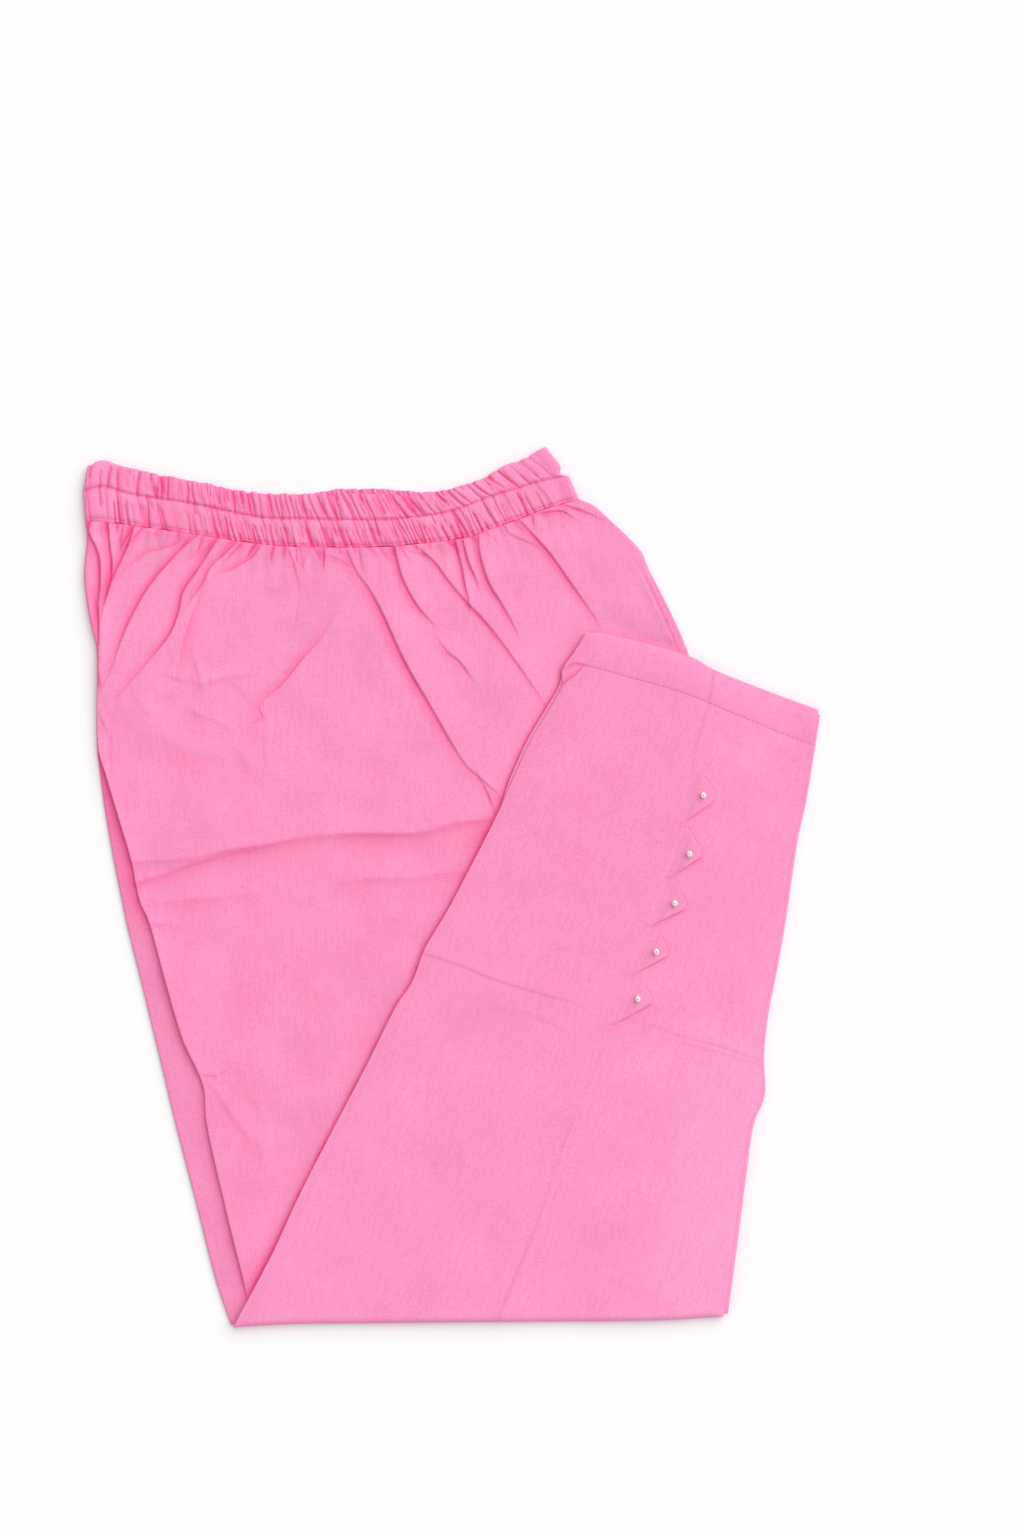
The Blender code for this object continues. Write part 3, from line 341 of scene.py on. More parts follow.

# Creases: the route of each valley from its root onwards, the height of the crest beside it, the
# depth of the valley, how far its foot and the gentle side of its crest reach, the share of its size
# at its first and last point, and how far the shade painted on the pressed cloth on its low side reaches.
# The crest is on the left of someone who walks the route
Crease = namedtuple("Crease", "route height valley foot gentle head tail pool", defaults=(0.0, 0.0, 0.0))
BODY_CREASES = [
    Crease([(-68, 218), (-62.5, 205.5), (-54.5, 194.5), (-46, 179.5), (-31, 147), (-13.5, 116.5),
            (0.5, 92), (9, 79), (18, 71), (34, 57)], 2.5, 0.9, 2.2, 15, 0.5, 0.3, 9),
    Crease([(17, 72.5), (23, 61), (28.5, 46.5)], 1.1, 0.6, 1.2, 5, 0.5, 0.7),
    Crease([(-60.5, 222), (-59, 211.5), (-55, 197.5)], 1.0, 0.7, 1.5, 6, 1.0),
    Crease([(-84.5, 217), (-74, 213), (-63.5, 206.5)], 1.0, 0.5, 2.0, 8, 0.7, 0.0, 5),
    Crease([(-37, 217.5), (-32, 200), (-23, 183.5), (-15.5, 174.5), (-4.5, 163)],
           1.8, 0.8, 1.9, 9, 0.8, 0.0, 6),
    Crease([(-33.8, 221.5), (-29, 214), (-24.3, 211)], 1.0, 0.6, 1.4, 3, 0.9),
    Crease([(-24, 217), (-15.6, 216)], 0.7, 0.5, 1.2, 3, 0.8),
    Crease([(-9, 161), (-3, 153), (4.5, 147), (12.5, 136), (18, 128.5)], 1.2, 0.5, 1.8, 9, 0.4, 0.0, 7),
    Crease([(-19, 218), (-11.5, 211.5), (-2, 198.5), (11.5, 183), (22, 172), (37, 152.5),
            (60.5, 118.5)], 1.5, 0.6, 2.0, 11, 0.9, 0.4, 4),
    Crease([(33, 236), (37.5, 229.5), (49.5, 224), (62.5, 217)], 1.0, 0.6, 1.5, 5, 0.8),
    Crease([(2, 225), (6, 209), (8.5, 195.5), (11, 183.5), (11.5, 173)], 1.7, 1.0, 1.4, 4, 1.0, 0.0, 4),
    Crease([(7, 225), (10.5, 211.5), (15, 201), (19.5, 188)], 1.5, 0.9, 1.5, 4, 1.0, 0.0, 4),
    Crease([(17, 229), (17.5, 218.5), (23.5, 198.5), (32.5, 183.5), (41, 167.5), (46, 152)],
           1.8, 0.8, 1.8, 8, 0.9, 0.0, 5),
    Crease([(43, 239.5), (53.5, 228), (63, 217.5), (75.5, 200), (96, 170.5)],
           1.8, 0.8, 2.0, 11, 0.8, 0.4, 6),
    Crease([(52, 241), (53.5, 230)], 0.9, 0.9, 1.3, 4, 1.0),
    Crease([(56, 243), (71, 244.5), (76.5, 241.5), (85, 235.5)], 1.2, 0.6, 1.7, 7, 0.6, 0.0, 4),
    Crease([(69, 251), (73, 248.5), (82.5, 245.5), (96, 239.5)], 1.2, 0.6, 1.5, 6, 0.8, 0.3, 4),
    Crease([(151, 145), (144.5, 160), (135.5, 180), (127, 197.5), (118.5, 213), (110, 224)],
           0.9, 0.7, 1.1, 4, 0.8, 0.0, 3),
    Crease([(-236, 237), (-236, 230.5), (-231, 219.5), (-229, 210.5), (-229, 196.5), (-230, 185.5),
            (-229.5, 165.5), (-230, 148), (-229, 134)], 2.5, 1.7, 1.8, 5, 0.9, 0.5, 6),
    Crease([(-234.5, 196.5), (-232.5, 185.5), (-231, 167.5)], 0.6, 0.6, 1.2, 3, 0.3),
    Crease([(-206.5, 235), (-210, 224), (-216, 211), (-220.5, 201), (-225, 189), (-229, 173),
            (-229.5, 163)], 2.3, 1.6, 1.8, 7, 0.9, 0.0, 7),
    Crease([(-223.7, 236.8), (-222.5, 222), (-221.1, 208.8), (-222.8, 195.1), (-227.9, 176.5)],
           1.8, 1.9, 1.4, 4, 1.0, 0.2, 8),
    Crease([(-213.5, 236), (-215.5, 226), (-216, 217)], 1.0, 0.8, 1.3, 4, 1.0),
    Crease([(-173.5, 230.5), (-179, 223.5), (-188, 220), (-199, 217), (-206.5, 211.5), (-214.5, 205),
            (-219, 197.5)], 1.1, 0.5, 2.2, 8, 0.8, 0.3, 5),
    Crease([(-166.5, 228), (-176, 220), (-183.5, 212), (-197.5, 195.5), (-210, 173), (-216.5, 157.5),
            (-221, 144), (-228, 128.5)], 2.3, 1.2, 1.7, 10, 0.7, 0.2, 6),
    Crease([(-153, 225.8), (-165, 207), (-175.2, 191.8), (-177.7, 179.9), (-183.7, 164.6),
            (-197.3, 147.6), (-217.8, 123.8)], 2.3, 1.2, 1.7, 13, 0.9, 0.2, 6),
    Crease([(-139.5, 224.9), (-147.5, 217), (-156.5, 208.8), (-163.3, 195.2), (-170, 186.7),
            (-178.6, 173.1)], 1.5, 0.8, 1.8, 7, 0.9, 0.0, 6),
    Crease([(-125, 221.5), (-129.3, 215.5), (-139.5, 208.8), (-153.1, 202), (-159.9, 195.1)],
           1.3, 0.6, 1.9, 6, 0.9, 0.0, 6),
    Crease([(-107.2, 222.4), (-104, 213), (-101.2, 203.7), (-99.5, 190)], 1.0, 0.6, 1.6, 5, 1.0, 0.0, 5),
    Crease([(-93.6, 219), (-96, 213.5), (-98.7, 207.1)], 0.9, 0.7, 1.3, 4, 1.0),
    Crease([(-101.5, 222), (-101, 214), (-99.8, 207)], 1.0, 0.9, 1.1, 2.5, 1.0),
    Crease([(-129.5, 195.5), (-123, 193.5), (-115, 193.5), (-108.5, 196.5), (-110.5, 201)],
           0.6, 0.4, 1.6, 5, 0.0, 0.3, 5),
    Crease([(-179.4, 137.3), (-173.5, 162.8), (-161.6, 196.9)], 1.1, 0.5, 1.7, 6, 0.4, 0.5, 11),
    Crease([(-169.5, 153), (-167, 142.5), (-164.5, 131)], 0.7, 0.5, 1.5, 5, 0.3, 0.6, 6),
    Crease([(-163, 130.5), (-143, 136), (-120, 139)], 0.65, 0.4, 1.6, 6, 0.7, 0.0, 5),
    Crease([(-188, 137.5), (-179, 134), (-169.5, 133)], 0.55, 0.4, 1.5, 5, 0.2, 0.3),
    Crease([(-149.5, 133), (-140.5, 129.5), (-132, 120), (-128, 115.5)], 0.55, 0.25, 1.8, 6, 0.0, 0.2, 5),
    Crease([(-174, 116), (-165, 111), (-154, 106.5), (-143, 98.5), (-136.5, 91.5)], 0.5, 0.3, 1.7, 7),
    Crease([(-200, 98), (-187, 92), (-172, 87), (-153.5, 81.4), (-134, 77.5), (-118, 70)],
           0.6, 0.15, 4.0, 12, 0.1, 0.1, 14),
    Crease([(-145.7, 95.2), (-139.8, 87.3), (-131.9, 75.6), (-129, 71.6)], 0.5, 0.2, 2.0, 7, 0.2, 0.3, 5),
    Crease([(-173.1, 114.8), (-166.5, 109.5), (-163.3, 103)], 0.5, 0.2, 2.0, 6, 0.3, 0.2, 5),
    Crease([(-208.4, 126.6), (-201.6, 114.8), (-193.7, 107)], 0.45, 0.15, 2.2, 7, 0.2, 0.2, 6),
    Crease([(-192.7, 120.7), (-184.9, 123.6), (-177, 122.6)], 0.5, 0.2, 1.8, 5, 0.2, 0.2, 4),
    Crease([(-220.5, 66.5), (-222.5, 89.5), (-221.5, 107.5), (-218, 124)], 0.6, 0.3, 2.0, 5, 0.2, 0.3, 4),
    Crease([(-75, 179.5), (-86.5, 161), (-97.5, 148.5), (-112, 131), (-122, 122.5), (-125.5, 117.5),
            (-123.5, 111.5)], 1.5, 0.7, 2.0, 14, 0.15, 0.4, 8),
    Crease([(-123, 109), (-128.5, 106.5), (-132, 101.5)], 0.8, 0.5, 1.5, 5, 0.5, 0.0, 4),
    Crease([(-123, 108), (-123, 92), (-123, 73)], 0.35, 0.3, 1.2, 4),
    Crease([(-230, 112), (-226, 104), (-223.5, 93)], 0.7, 0.4, 1.5, 4, 0.5),
    Crease([(-232, 150), (-231, 138), (-229.5, 127)], 0.8, 0.5, 1.3, 3, 0.4, 0.4),
    Crease([(-77.5, 107), (-75, 98)], 0.25, 0.2, 1.4, 4),
    Crease([(-73, 78.5), (-59, 80.5), (-52.5, 81.5), (-40.5, 81.5)], 0.25, 0.2, 1.4, 4),
    Crease([(-186, -62.5), (-177.5, -62)], 0.3, 0.3, 1.2, 4, 0.8),
    Crease([(-131.5, -123), (-132.5, -120), (-134, -102.5)], 0.4, 0.3, 1.6, 6),
    Crease([(-148, -114.5), (-140.5, -122.5), (-136.5, -132.5), (-128.5, -144.5), (-125, -179.5),
            (-108.5, -211.5)], 0.4, 0.2, 2.6, 9),
    Crease([(-159, -127), (-150, -140.5), (-142.5, -152), (-129.5, -168), (-119, -181)],
           0.6, 0.4, 1.8, 8, 0.8, 0.0, 5),
    Crease([(-160.7, -122.4), (-155, -123), (-150.3, -123.7)], 0.6, 0.5, 1.0, 3, 0.9),
    Crease([(-150.3, -123.7), (-151.6, -116.3)], 0.5, 0.4, 0.9, 3, 0.8),
    Crease([(-198, -24.6), (-193, -24), (-188, -23.8)], 0.7, 0.6, 0.9, 3, 1.0),
    Crease([(-201, -8.6), (-195, -8.2), (-189.5, -8.6)], 0.5, 0.4, 0.9, 3, 0.8),
    Crease([(-118, 27), (-139, 21.5), (-155, 17.5), (-172, 13.5), (-188, 8.5)],
           0.6, 0.3, 1.2, 5, 0.2, 0.3, 6),
    Crease([(-99.8, 219), (-99.5, 202), (-100, 185.5), (-104.5, 163), (-110.5, 131.5)],
           0.15, 0.25, 0.8, 2, 1.0),
]

# Pressed edges that cross the body from left to right: the height of the lit side above, the drop
# below, how far that drop reaches, and the share at each end
Ledge = namedtuple("Ledge", "route height drop reach head tail")
BODY_LEDGES = [
    Ledge([(-209, 16.5), (-170.5, 19), (-143, 24.5), (-122, 27.5), (-99.5, 32), (-66.5, 35), (-32.5, 35),
           (-17.5, 36), (-4.5, 40), (10.5, 43), (24, 44)], 0.6, 1.5, 9, 0.5, 1.0),
    Ledge([(-206, 2.5), (-190, 7.5), (-167.5, 15.5), (-143, 21)], 0.5, 1.0, 6, 1.0, 0.2),
    Ledge([(-77.5, 2.5), (-48, 6), (-26.5, 6), (1.5, 9.5), (12.5, 9)], 0.3, 0.9, 7, 0.2, 0.8),
    Ledge([(-199, -10.5), (-179, -9), (-151.5, -7), (-132, -4), (-115, -2.5)], 0.3, 0.5, 6, 0.8, 0.1),
    Ledge([(-197, -25), (-184.5, -23.5), (-176, -23.5)], 0.3, 0.4, 4, 0.8, 0.1),
]

# Creases of the turned-up leg, as those of the body
LEG_CREASES = [
    Crease([(-17, -44), (-13, -45), (0.5, -49.5), (13.5, -54.5), (24, -59), (51.5, -67.5), (70, -73),
            (91.5, -78.5), (110, -83)], 0.65, 0.35, 1.1, 9, 0.9),
    Crease([(13.5, -75.5), (35, -81), (53.5, -85), (71.5, -94), (91.5, -103)], 0.35, 0.2, 2.0, 8),
    Crease([(118.5, -88), (128.5, -90), (152, -98), (171, -103), (202, -112.5)], 0.55, 0.3, 1.3, 7, 0.5, 0.8),
    Crease([(122, -93.5), (152, -102.5), (180, -110), (201, -117)], 0.35, 0.3, 1.5, 5, 0.1, 0.6),
    Crease([(104, -89.5), (113, -85), (118.5, -88)], 0.35, 0.4, 1.0, 3, 0.8),
    Crease([(84, 142.5), (79.5, 138), (74, 134), (71, 130.5)], 1.3, 0.7, 1.3, 5, 0.6, 0.8, 3),
    Crease([(74, 142.5), (79, 145.3), (83, 145.2), (88, 143.5)], 0.9, 0.5, 1.1, 3, 0.8, 0.2),
]

# The side seam down the leg, from the hem, with what the tabs cover left out
SIDE_SEAM = [
    (170.5, 141.5), (166.5, 119.5), (155.5, 82), (149, 40.5), (127.5, -25.5), (94.5, -112), (72.5, -164),
    (53.5, -221.5), (28.5, -282.4),
]

# How the gathers below the band lean, in degrees from straight down, by place along the band, and how
# much that varies; how far they reach, how often each reach comes, how far apart they are, how much
# smaller they get over a part of the band at the right; how far from the band's ends they stay; how far
# they bend, how many face the other way; and for the largest, as in the tables, the height, the valley and
# the foot, and the ranges of the gentle side and of the reach of the shade painted on the low side
GATHER_LEAN = [(0.0, 5), (0.12, -28), (0.3, -40), (0.43, 2), (0.6, 25), (1.0, 42)]
GATHER_TURN = 15
GATHER_REACHES = (7.0, 12.0, 19.0, 28.0)
GATHER_ODDS = (0.25, 0.35, 0.28, 0.12)
GATHER_GAPS = (4.5, 11.0)
GATHER_SMALLER = 0.75
GATHER_SHRINKS = (0.7, 0.86)
GATHER_FIRST = 4.0
GATHER_LAST = 6.0
GATHER_BEND = 1.5
GATHER_REVERSED = 0.4
GATHER_HEIGHT = 1.5
GATHER_VALLEY = 1.1
GATHER_FOOT = 1.5
GATHER_GENTLE = (3.5, 7.0)
GATHER_POOL = (2.0, 5.0)

# Notches of the waistband: how wide they are, how often each width comes, and their spacing by place
# along the band
NOTCH_WIDTHS = (0.32, 0.48, 0.95)
NOTCH_ODDS = (0.4, 0.4, 0.2)
NOTCH_SPACING = [
    (0.0, 8.0), (0.1, 6.0), (0.2, 4.5), (0.3, 4.0), (0.45, 4.5), (0.62, 4.0), (0.66, 2.4), (0.72, 4.5),
    (0.85, 6.0), (1.0, 9.0),
]

# How far the notches lean, as the way that their upper end lies ahead of the lower one by, and the
# stretches of the band that have few of them
NOTCH_LEAN = [(0.0, -0.5), (0.3, -0.5), (0.5, -2.0), (0.75, -5.0), (1.0, -6.0)]
SMOOTH_PLACES = [(0.02, 0.05), (0.17, 0.21), (0.945, 1.0)]

# Tabs: the two ends of the base, on the side seam, and the blunt tip between them
Tab = namedtuple("Tab", "base_top shoulder tip base_bottom")
TABS = [Tab(*row) for row in (
    ((156.5, 81.5), (171.0, 62.5), (169.5, 55.5), (148.0, 40.5)),
    ((152.0, 40.5), (161.0, 26.5), (162.0, 20.0), (140.0, 5.5)),
    ((143.5, 6.5), (152.5, -10.0), (150.5, -14.5), (127.5, -25.5)),
    ((132.5, -24.5), (140.5, -39.5), (140.0, -44.5), (116.0, -57.0)),
    ((120.0, -57.0), (129.5, -70.0), (130.0, -75.0), (104.0, -89.5)),
)]

# Colours, linear
PINK = (0.925, 0.327, 0.570)
PINK_INSIDE = (0.90, 0.302, 0.54)
THREAD_PINK = (0.80, 0.16, 0.38)
# The deeper pink that the cloth's colour is multiplied by where shade is painted
PAINTED_SHADE_TINT = (1.0, 0.34, 0.55)
LILAC_TINT = (0.97, 0.967, 0.988)
PEARL = (0.93, 0.91, 0.83)
FLOOR = (0.93, 0.93, 0.93)

# How much of the painted shade's tint all cloth has, so that painted light can take some of it away
BASE_SHADE = 0.16

# The shares of its colour that the darkest and the lightest place has: of the cloth, for each part of the
# colour, and of the thread, the pearls and the floor; and the noise that these two places have
WOVEN_SHARES = ((0.93, 0.78, 0.86), (1.04, 1.22, 1.13))
TWIST_SHARES = (0.8, 1.1)
PEARL_SHARES = (0.9, 1.04)
FLOOR_SHARES = (0.99, 1.01)
WOVEN_RANGE = (0.36, 0.64)
SMOOTH_RANGE = (0.3, 0.7)

# The parts of warp, weft and grain in the threads, and of threads and patches in the cloth's tone; and the
# noise between which the lilac clouds come up
THREAD_MIX = (0.28, 0.17, 0.55)
TONE_MIX = (0.88, 0.12)
CLOUD_RANGE = (0.53, 0.70)

# Grains for each metre: of the cloth's warp and weft, its fine grain, faint patches and lilac clouds, of
# the thread's twist, of the pearls and of the floor; how far the clouds and the twist are turned; and the
# height of the weave in metres, with the strength of its relief
WARP = (1250.0, 90.0, 90.0)
WEFT = (140.0, 1350.0, 140.0)
GRAIN = 1100.0
PATCHES = 24.0
CLOUDS = (17.0, 23.0, 20.0)
CLOUD_TURN = 0.7
TWIST = (4000.0, 900.0, 900.0)
TWIST_TURN = 0.6
PEARL_CLOUDS = 500.0
FLOOR_CLOUDS = 30.0
WEAVE_RELIEF = 0.00012
WEAVE_STRENGTH = 0.35

# The gloss of cotton and of a pearl
COTTON_SURFACE = {
    "Roughness": 0.92, "Specular IOR Level": 0.12,
    "Sheen Weight": 0.04, "Sheen Roughness": 0.5, "Sheen Tint": (1.0, 0.8, 0.9, 1.0),
}
PEARL_SURFACE = {
    "Roughness": 0.22, "Coat Weight": 0.7, "Coat Roughness": 0.08,
    "Subsurface Weight": 0.15, "Subsurface Scale": 0.001,
}


# Lines and outlines

def smooth_line(points, step):
    """Points about `step` apart on a smooth line through the given ones."""
    spots = np.array(points, dtype=float)
    t = np.arange(8)[:, None] / 8
    stretches = []
    for i in range(len(spots) - 1):
        p0, p1, p2, p3 = (spots[min(max(k, 0), len(spots) - 1)] for k in range(i - 1, i + 3))
        length = np.linalg.norm(p2 - p1)
        leave = (p2 - p0) * (length / max(np.linalg.norm(p1 - p0) + length, 1e-6))
        arrive = (p3 - p1) * (length / max(np.linalg.norm(p3 - p2) + length, 1e-6))
        stretches.append(
            p1 * (2 * t**3 - 3 * t**2 + 1) + leave * (t**3 - 2 * t**2 + t)
            + p2 * (3 * t**2 - 2 * t**3) + arrive * (t**3 - t**2)
        )
    return evenly(np.vstack([*stretches, spots[-1:]]), step)


def walked(line):
    """The distance from the start of a line to each of its points."""
    return np.concatenate([[0.0], np.cumsum(np.linalg.norm(np.diff(line, axis=0), axis=1))])


def points_at(line, places):
    """The points of a line at distances from its start."""
    total = walked(line)
    return np.column_stack([np.interp(places, total, line[:, k]) for k in range(line.shape[1])])


def evenly(line, step):
    """The same line with its points about `step` apart."""
    length = walked(line)[-1]
    count = max(1, round(length / step))
    return points_at(line, np.linspace(0.0, length, count + 1))


def normals_of(line):
    """The unit vectors to the left of someone who walks the line, at its points."""
    ahead = np.gradient(line, axis=0)
    left = np.column_stack([-ahead[:, 1], ahead[:, 0]])
    return left / np.maximum(np.linalg.norm(left, axis=1), 1e-9)[:, None]


def turned_right(vectors):
    """The vectors (x, y) turned by a quarter to the right."""
    return np.column_stack([vectors[:, 1], -vectors[:, 0]])


def chain(*lines):
    """One closed outline from lines that meet end to end, and which line each point is from."""
    outline, source = [], []
    for k, line in enumerate(lines):
        for point in line:
            if not outline or math.dist(point, outline[-1]) > 0.4 * EDGE_STEP:
                outline.append(tuple(point))
                source.append(k)
    while math.dist(outline[0], outline[-1]) < 0.4 * EDGE_STEP:
        outline.pop()
        source.pop()
    return np.array(outline), np.array(source)


def moved_in(outline, insets):
    """An outline that runs anticlockwise, moved in by one distance for each of its points."""
    before = outline - np.roll(outline, 1, axis=0)
    after = np.roll(outline, -1, axis=0) - outline
    before /= np.linalg.norm(before, axis=1)[:, None]
    after /= np.linalg.norm(after, axis=1)[:, None]
    inward = np.column_stack([-before[:, 1] - after[:, 1], before[:, 0] + after[:, 0]])
    inward /= np.maximum(np.linalg.norm(inward, axis=1), 1e-6)[:, None]
    slant = np.maximum(0.45, before[:, 0] * inward[:, 1] - before[:, 1] * inward[:, 0])
    return outline + inward * (insets / slant)[:, None]


def closed(outline):
    """An outline as a line that ends where it starts."""
    return np.vstack([outline, outline[:1]])


def within(outline, points):
    """Whether each point lies inside an outline."""
    inside = np.zeros(len(points), dtype=bool)
    for a, b in zip(outline, np.roll(outline, -1, axis=0)):
        if a[1] == b[1]:
            continue
        beside = (a[1] > points[:, 1]) != (b[1] > points[:, 1])
        crossing = a[0] + (b[0] - a[0]) * (points[:, 1] - a[1]) / (b[1] - a[1])
        inside ^= beside & (points[:, 0] < crossing)
    return inside


def measure(line, points):
    """The distance from each point to a line, positive on the walker's left, and how far along."""
    gaps, alongs = np.empty(len(points)), np.empty(len(points))
    starts, spans = line[:-1], np.diff(line, axis=0)
    squares = np.maximum((spans**2).sum(axis=1), 1e-12)
    total = walked(line)
    chunk = max(1, 2_000_000 // len(starts))
    for first in range(0, len(points), chunk):
        part = slice(first, first + chunk)
        offset = points[part, None, :] - starts[None]
        share = np.clip((offset * spans[None]).sum(axis=2) / squares, 0.0, 1.0)
        gap = np.linalg.norm(offset - share[..., None] * spans[None], axis=2)
        best = gap.argmin(axis=1)
        rows = np.arange(len(best))
        away, span = offset[rows, best], spans[best]
        side = np.where(span[:, 0] * away[:, 1] - span[:, 1] * away[:, 0] >= 0, 1.0, -1.0)
        gaps[part] = gap[rows, best] * side
        alongs[part] = total[best] + share[rows, best] * np.sqrt(squares[best])
    return gaps, alongs


def gap_from(line, points):
    """The distance from each point to a line, positive on the walker's left."""
    return measure(line, points)[0]


def measure_open(line, points):
    """As `measure`, with both ends taken straight on, and how far past an end each point is."""
    gap, along = measure(line, points)
    beyond = np.zeros(len(points))
    last = walked(line)[-1] - 1e-6
    ends = (
        (line[0], line[0] - line[1], along <= 0.0, -1.0),
        (line[-1], line[-1] - line[-2], along >= last, 1.0),
    )
    for end, ahead, past, turn in ends:
        ahead = ahead / np.linalg.norm(ahead)
        offset = points[past] - end
        beyond[past] = np.maximum(offset @ ahead, 0.0)
        gap[past] = turn * (ahead[0] * offset[:, 1] - ahead[1] * offset[:, 0])
    return gap, along, beyond


def far_from(points, others, gap):
    """The points that lie further than `gap` from every one of the others."""
    if len(others) == 0 or len(points) == 0:
        return points
    tree = kdtree.KDTree(len(others))
    for i, (x, y) in enumerate(others):
        tree.insert((x, y, 0.0), i)
    tree.balance()
    return points[np.array([tree.find((x, y, 0.0))[2] > gap for x, y in points])]


def ease(value, low, high):
    """0 below `low`, 1 above `high`, and an even S between them."""
    share = np.clip((value - low) / (high - low), 0.0, 1.0)
    return share * share * (3.0 - 2.0 * share)


def fading(gap, reach):
    """1 on a line, with a sharp peak there, and less on both sides of it."""
    return np.exp(-np.abs(gap) / reach)


def hump(gap, reach):
    """1 on a line, with a round peak there, and less on both sides of it."""
    return np.exp(-((gap / reach) ** 2))


def between(value, rise, fall):
    """1 between two stretches, with an even S up over the first and down over the second."""
    return ease(value, *rise) * (1 - ease(value, *fall))


def wavering(along, amount, short, long, phase=0.0):
    """About 1 along a line, and up to an amount more or less, in waves that come and go."""
    return 1 + amount * np.sin(along / short) * np.sin(along / long + phase)


def tapered(crease, share, grown, fades_from):
    """The size of a crease or a ledge by the share of its length, between its head and its tail."""
    size = crease.head + (1 - crease.head) * ease(share, 0.0, grown)
    return size * (1 - (1 - crease.tail) * ease(share, fades_from, 1.0))


def waves(points, seed, shortest, longest, height):
    """A broad uneven swell: a sum of waves in many directions."""
    rng = np.random.default_rng(seed)
    total = np.zeros(len(points))
    for _ in range(WAVES):
        length = rng.uniform(shortest, longest)
        angle, phase = rng.uniform(0, math.pi), rng.uniform(0, 2 * math.pi)
        across = points[:, 0] * math.cos(angle) + points[:, 1] * math.sin(angle)
        total += np.sin(across * 2 * math.pi / length + phase) * length / longest
    return height * total / math.sqrt(WAVES)


def side(rows, column, step=EDGE_STEP):
    """The smooth side line that a column of a table of sections gives, from the top down."""
    return smooth_line([(getattr(row, column), row.y) for row in rows], step)


def waist_line(column, step=EDGE_STEP):
    """A line along the band, from left to right: its `bottom`, `centre` or `top`."""
    return smooth_line([(getattr(row, column + "_x"), getattr(row, column + "_y")) for row in WAIST], step)


WAIST_SEAM = waist_line("bottom")
WAIST_LENGTH = walked(WAIST_SEAM)[-1]
FOLD_LINE = smooth_line(FOLD_EDGE, EDGE_STEP)
HEM_LINE = smooth_line(HEM_EDGE, EDGE_STEP)
STITCH_LINE = smooth_line(HEM_STITCH, EDGE_STEP)
SEAM_LINE = smooth_line(SIDE_SEAM, EDGE_STEP)
BODY_RIGHT = side(RIGHT_SIDE, "under", 6.0)
BODY_LEFT = side(LEFT_SIDE, "top", 3.0)
LEG_LEFT = side(LEG_LEFT_SIDE, "top")
LEG_RIGHT = side(LEG_RIGHT_SIDE, "top")

# The edge that the leg shows on the body, from the bottom corner up and along the hem
LEG_OUTER = smooth_line([(min(row.top, row.under), row.y) for row in LEG_LEFT_SIDE], 4.0)
LEG_FRONTIER = np.vstack([LEG_OUTER[::-1], evenly(HEM_LINE, 4.0)[1:]])


# Relief of the cloth

def crease_points(crease):
    """The smooth route of a crease's valley."""
    return smooth_line(crease.route, LINE_STEP)


def near_line(line, points, reach):
    """Indices of the points within the box round a line, grown by `reach`."""
    low, high = line.min(axis=0) - reach, line.max(axis=0) + reach
    return np.flatnonzero(((points >= low) & (points <= high)).all(axis=1))


def sharpness(crease):
    """From 0 for a low soft crease to 1 for a sharp fold."""
    return min(1.0, max(0.0, (crease.height - SOFT_HEIGHT) / SHARPER_BY))


def wall_width(crease):
    """How wide the steep side of a crease is."""
    sharp = sharpness(crease)
    return crease.foot * (SHARP_WALL * sharp + SOFT_WALL * (1 - sharp))


def crease_relief(crease, points):
    """How far one crease lifts the cloth at each point, and how much shade is painted there in its fold."""
    line = evenly(crease_points(crease), 2.5)
    lift, painted_shade = np.zeros(len(points)), np.zeros(len(points))
    gentle = GENTLE_REACH * crease.gentle
    near = near_line(line, points, max(gentle + 2 * crease.foot, crease.pool))
    if len(near) == 0:
        return lift, painted_shade
    gap, along, beyond = measure_open(line, points[near])
    share = along / walked(line)[-1]
    growth = SLOW_GROWTH if crease.tail > crease.head else QUICK_GROWTH
    envelope = tapered(crease, share, growth, FADE_FROM) * hump(beyond, END_REACH)
    uneven = 1 + UNEVEN * np.sin(along / UNEVEN_LENGTH + crease.route[0][0])
    crest, valley = FOLD_HEIGHT * crease.height * uneven, FOLD_DEPTH * crease.valley * uneven
    wall, sharp, foot = wall_width(crease), sharpness(crease), crease.foot
    cusp, trough = np.exp(np.minimum(gap, 0.0) / foot), 1 - ease(-gap, 0.0, TROUGH_REACH * foot)
    low_side = -valley * (sharp * cusp + (1 - sharp) * trough)
    high_side = -valley + (crest + valley) * ease(gap, 0.0, wall)
    falling = crest * (1 - ease(gap, wall + CREST_ROUND, gentle))
    shape = np.where(gap < 0, low_side, np.where(gap < wall, high_side, falling))
    lift[near] = shape * envelope * (1 - ease(-gap, foot, gentle + foot))
    strength = min(1.0, (crease.height + crease.valley) / FULL_SHADE_SIZE) * envelope
    line_shade = fading(gap - 0.3 * wall, LINE_REACH) * sharp
    foot_shade = fading(gap, np.where(gap < 0, SHADE_REACH * foot, WALL_SHADE_REACH * foot))
    painted_shade[near] = strength * (LINE_SHADE * line_shade + (FOOT_SHADE + SHARP_FOOT_SHADE * sharp) * foot_shade)
    if crease.pool:
        pool = (1 - ease(-gap, 0.3 * crease.pool, crease.pool)) * ease(-gap, -0.5, 0.5)
        painted_shade[near] += POOL_SHADE * strength * pool
    return lift, painted_shade


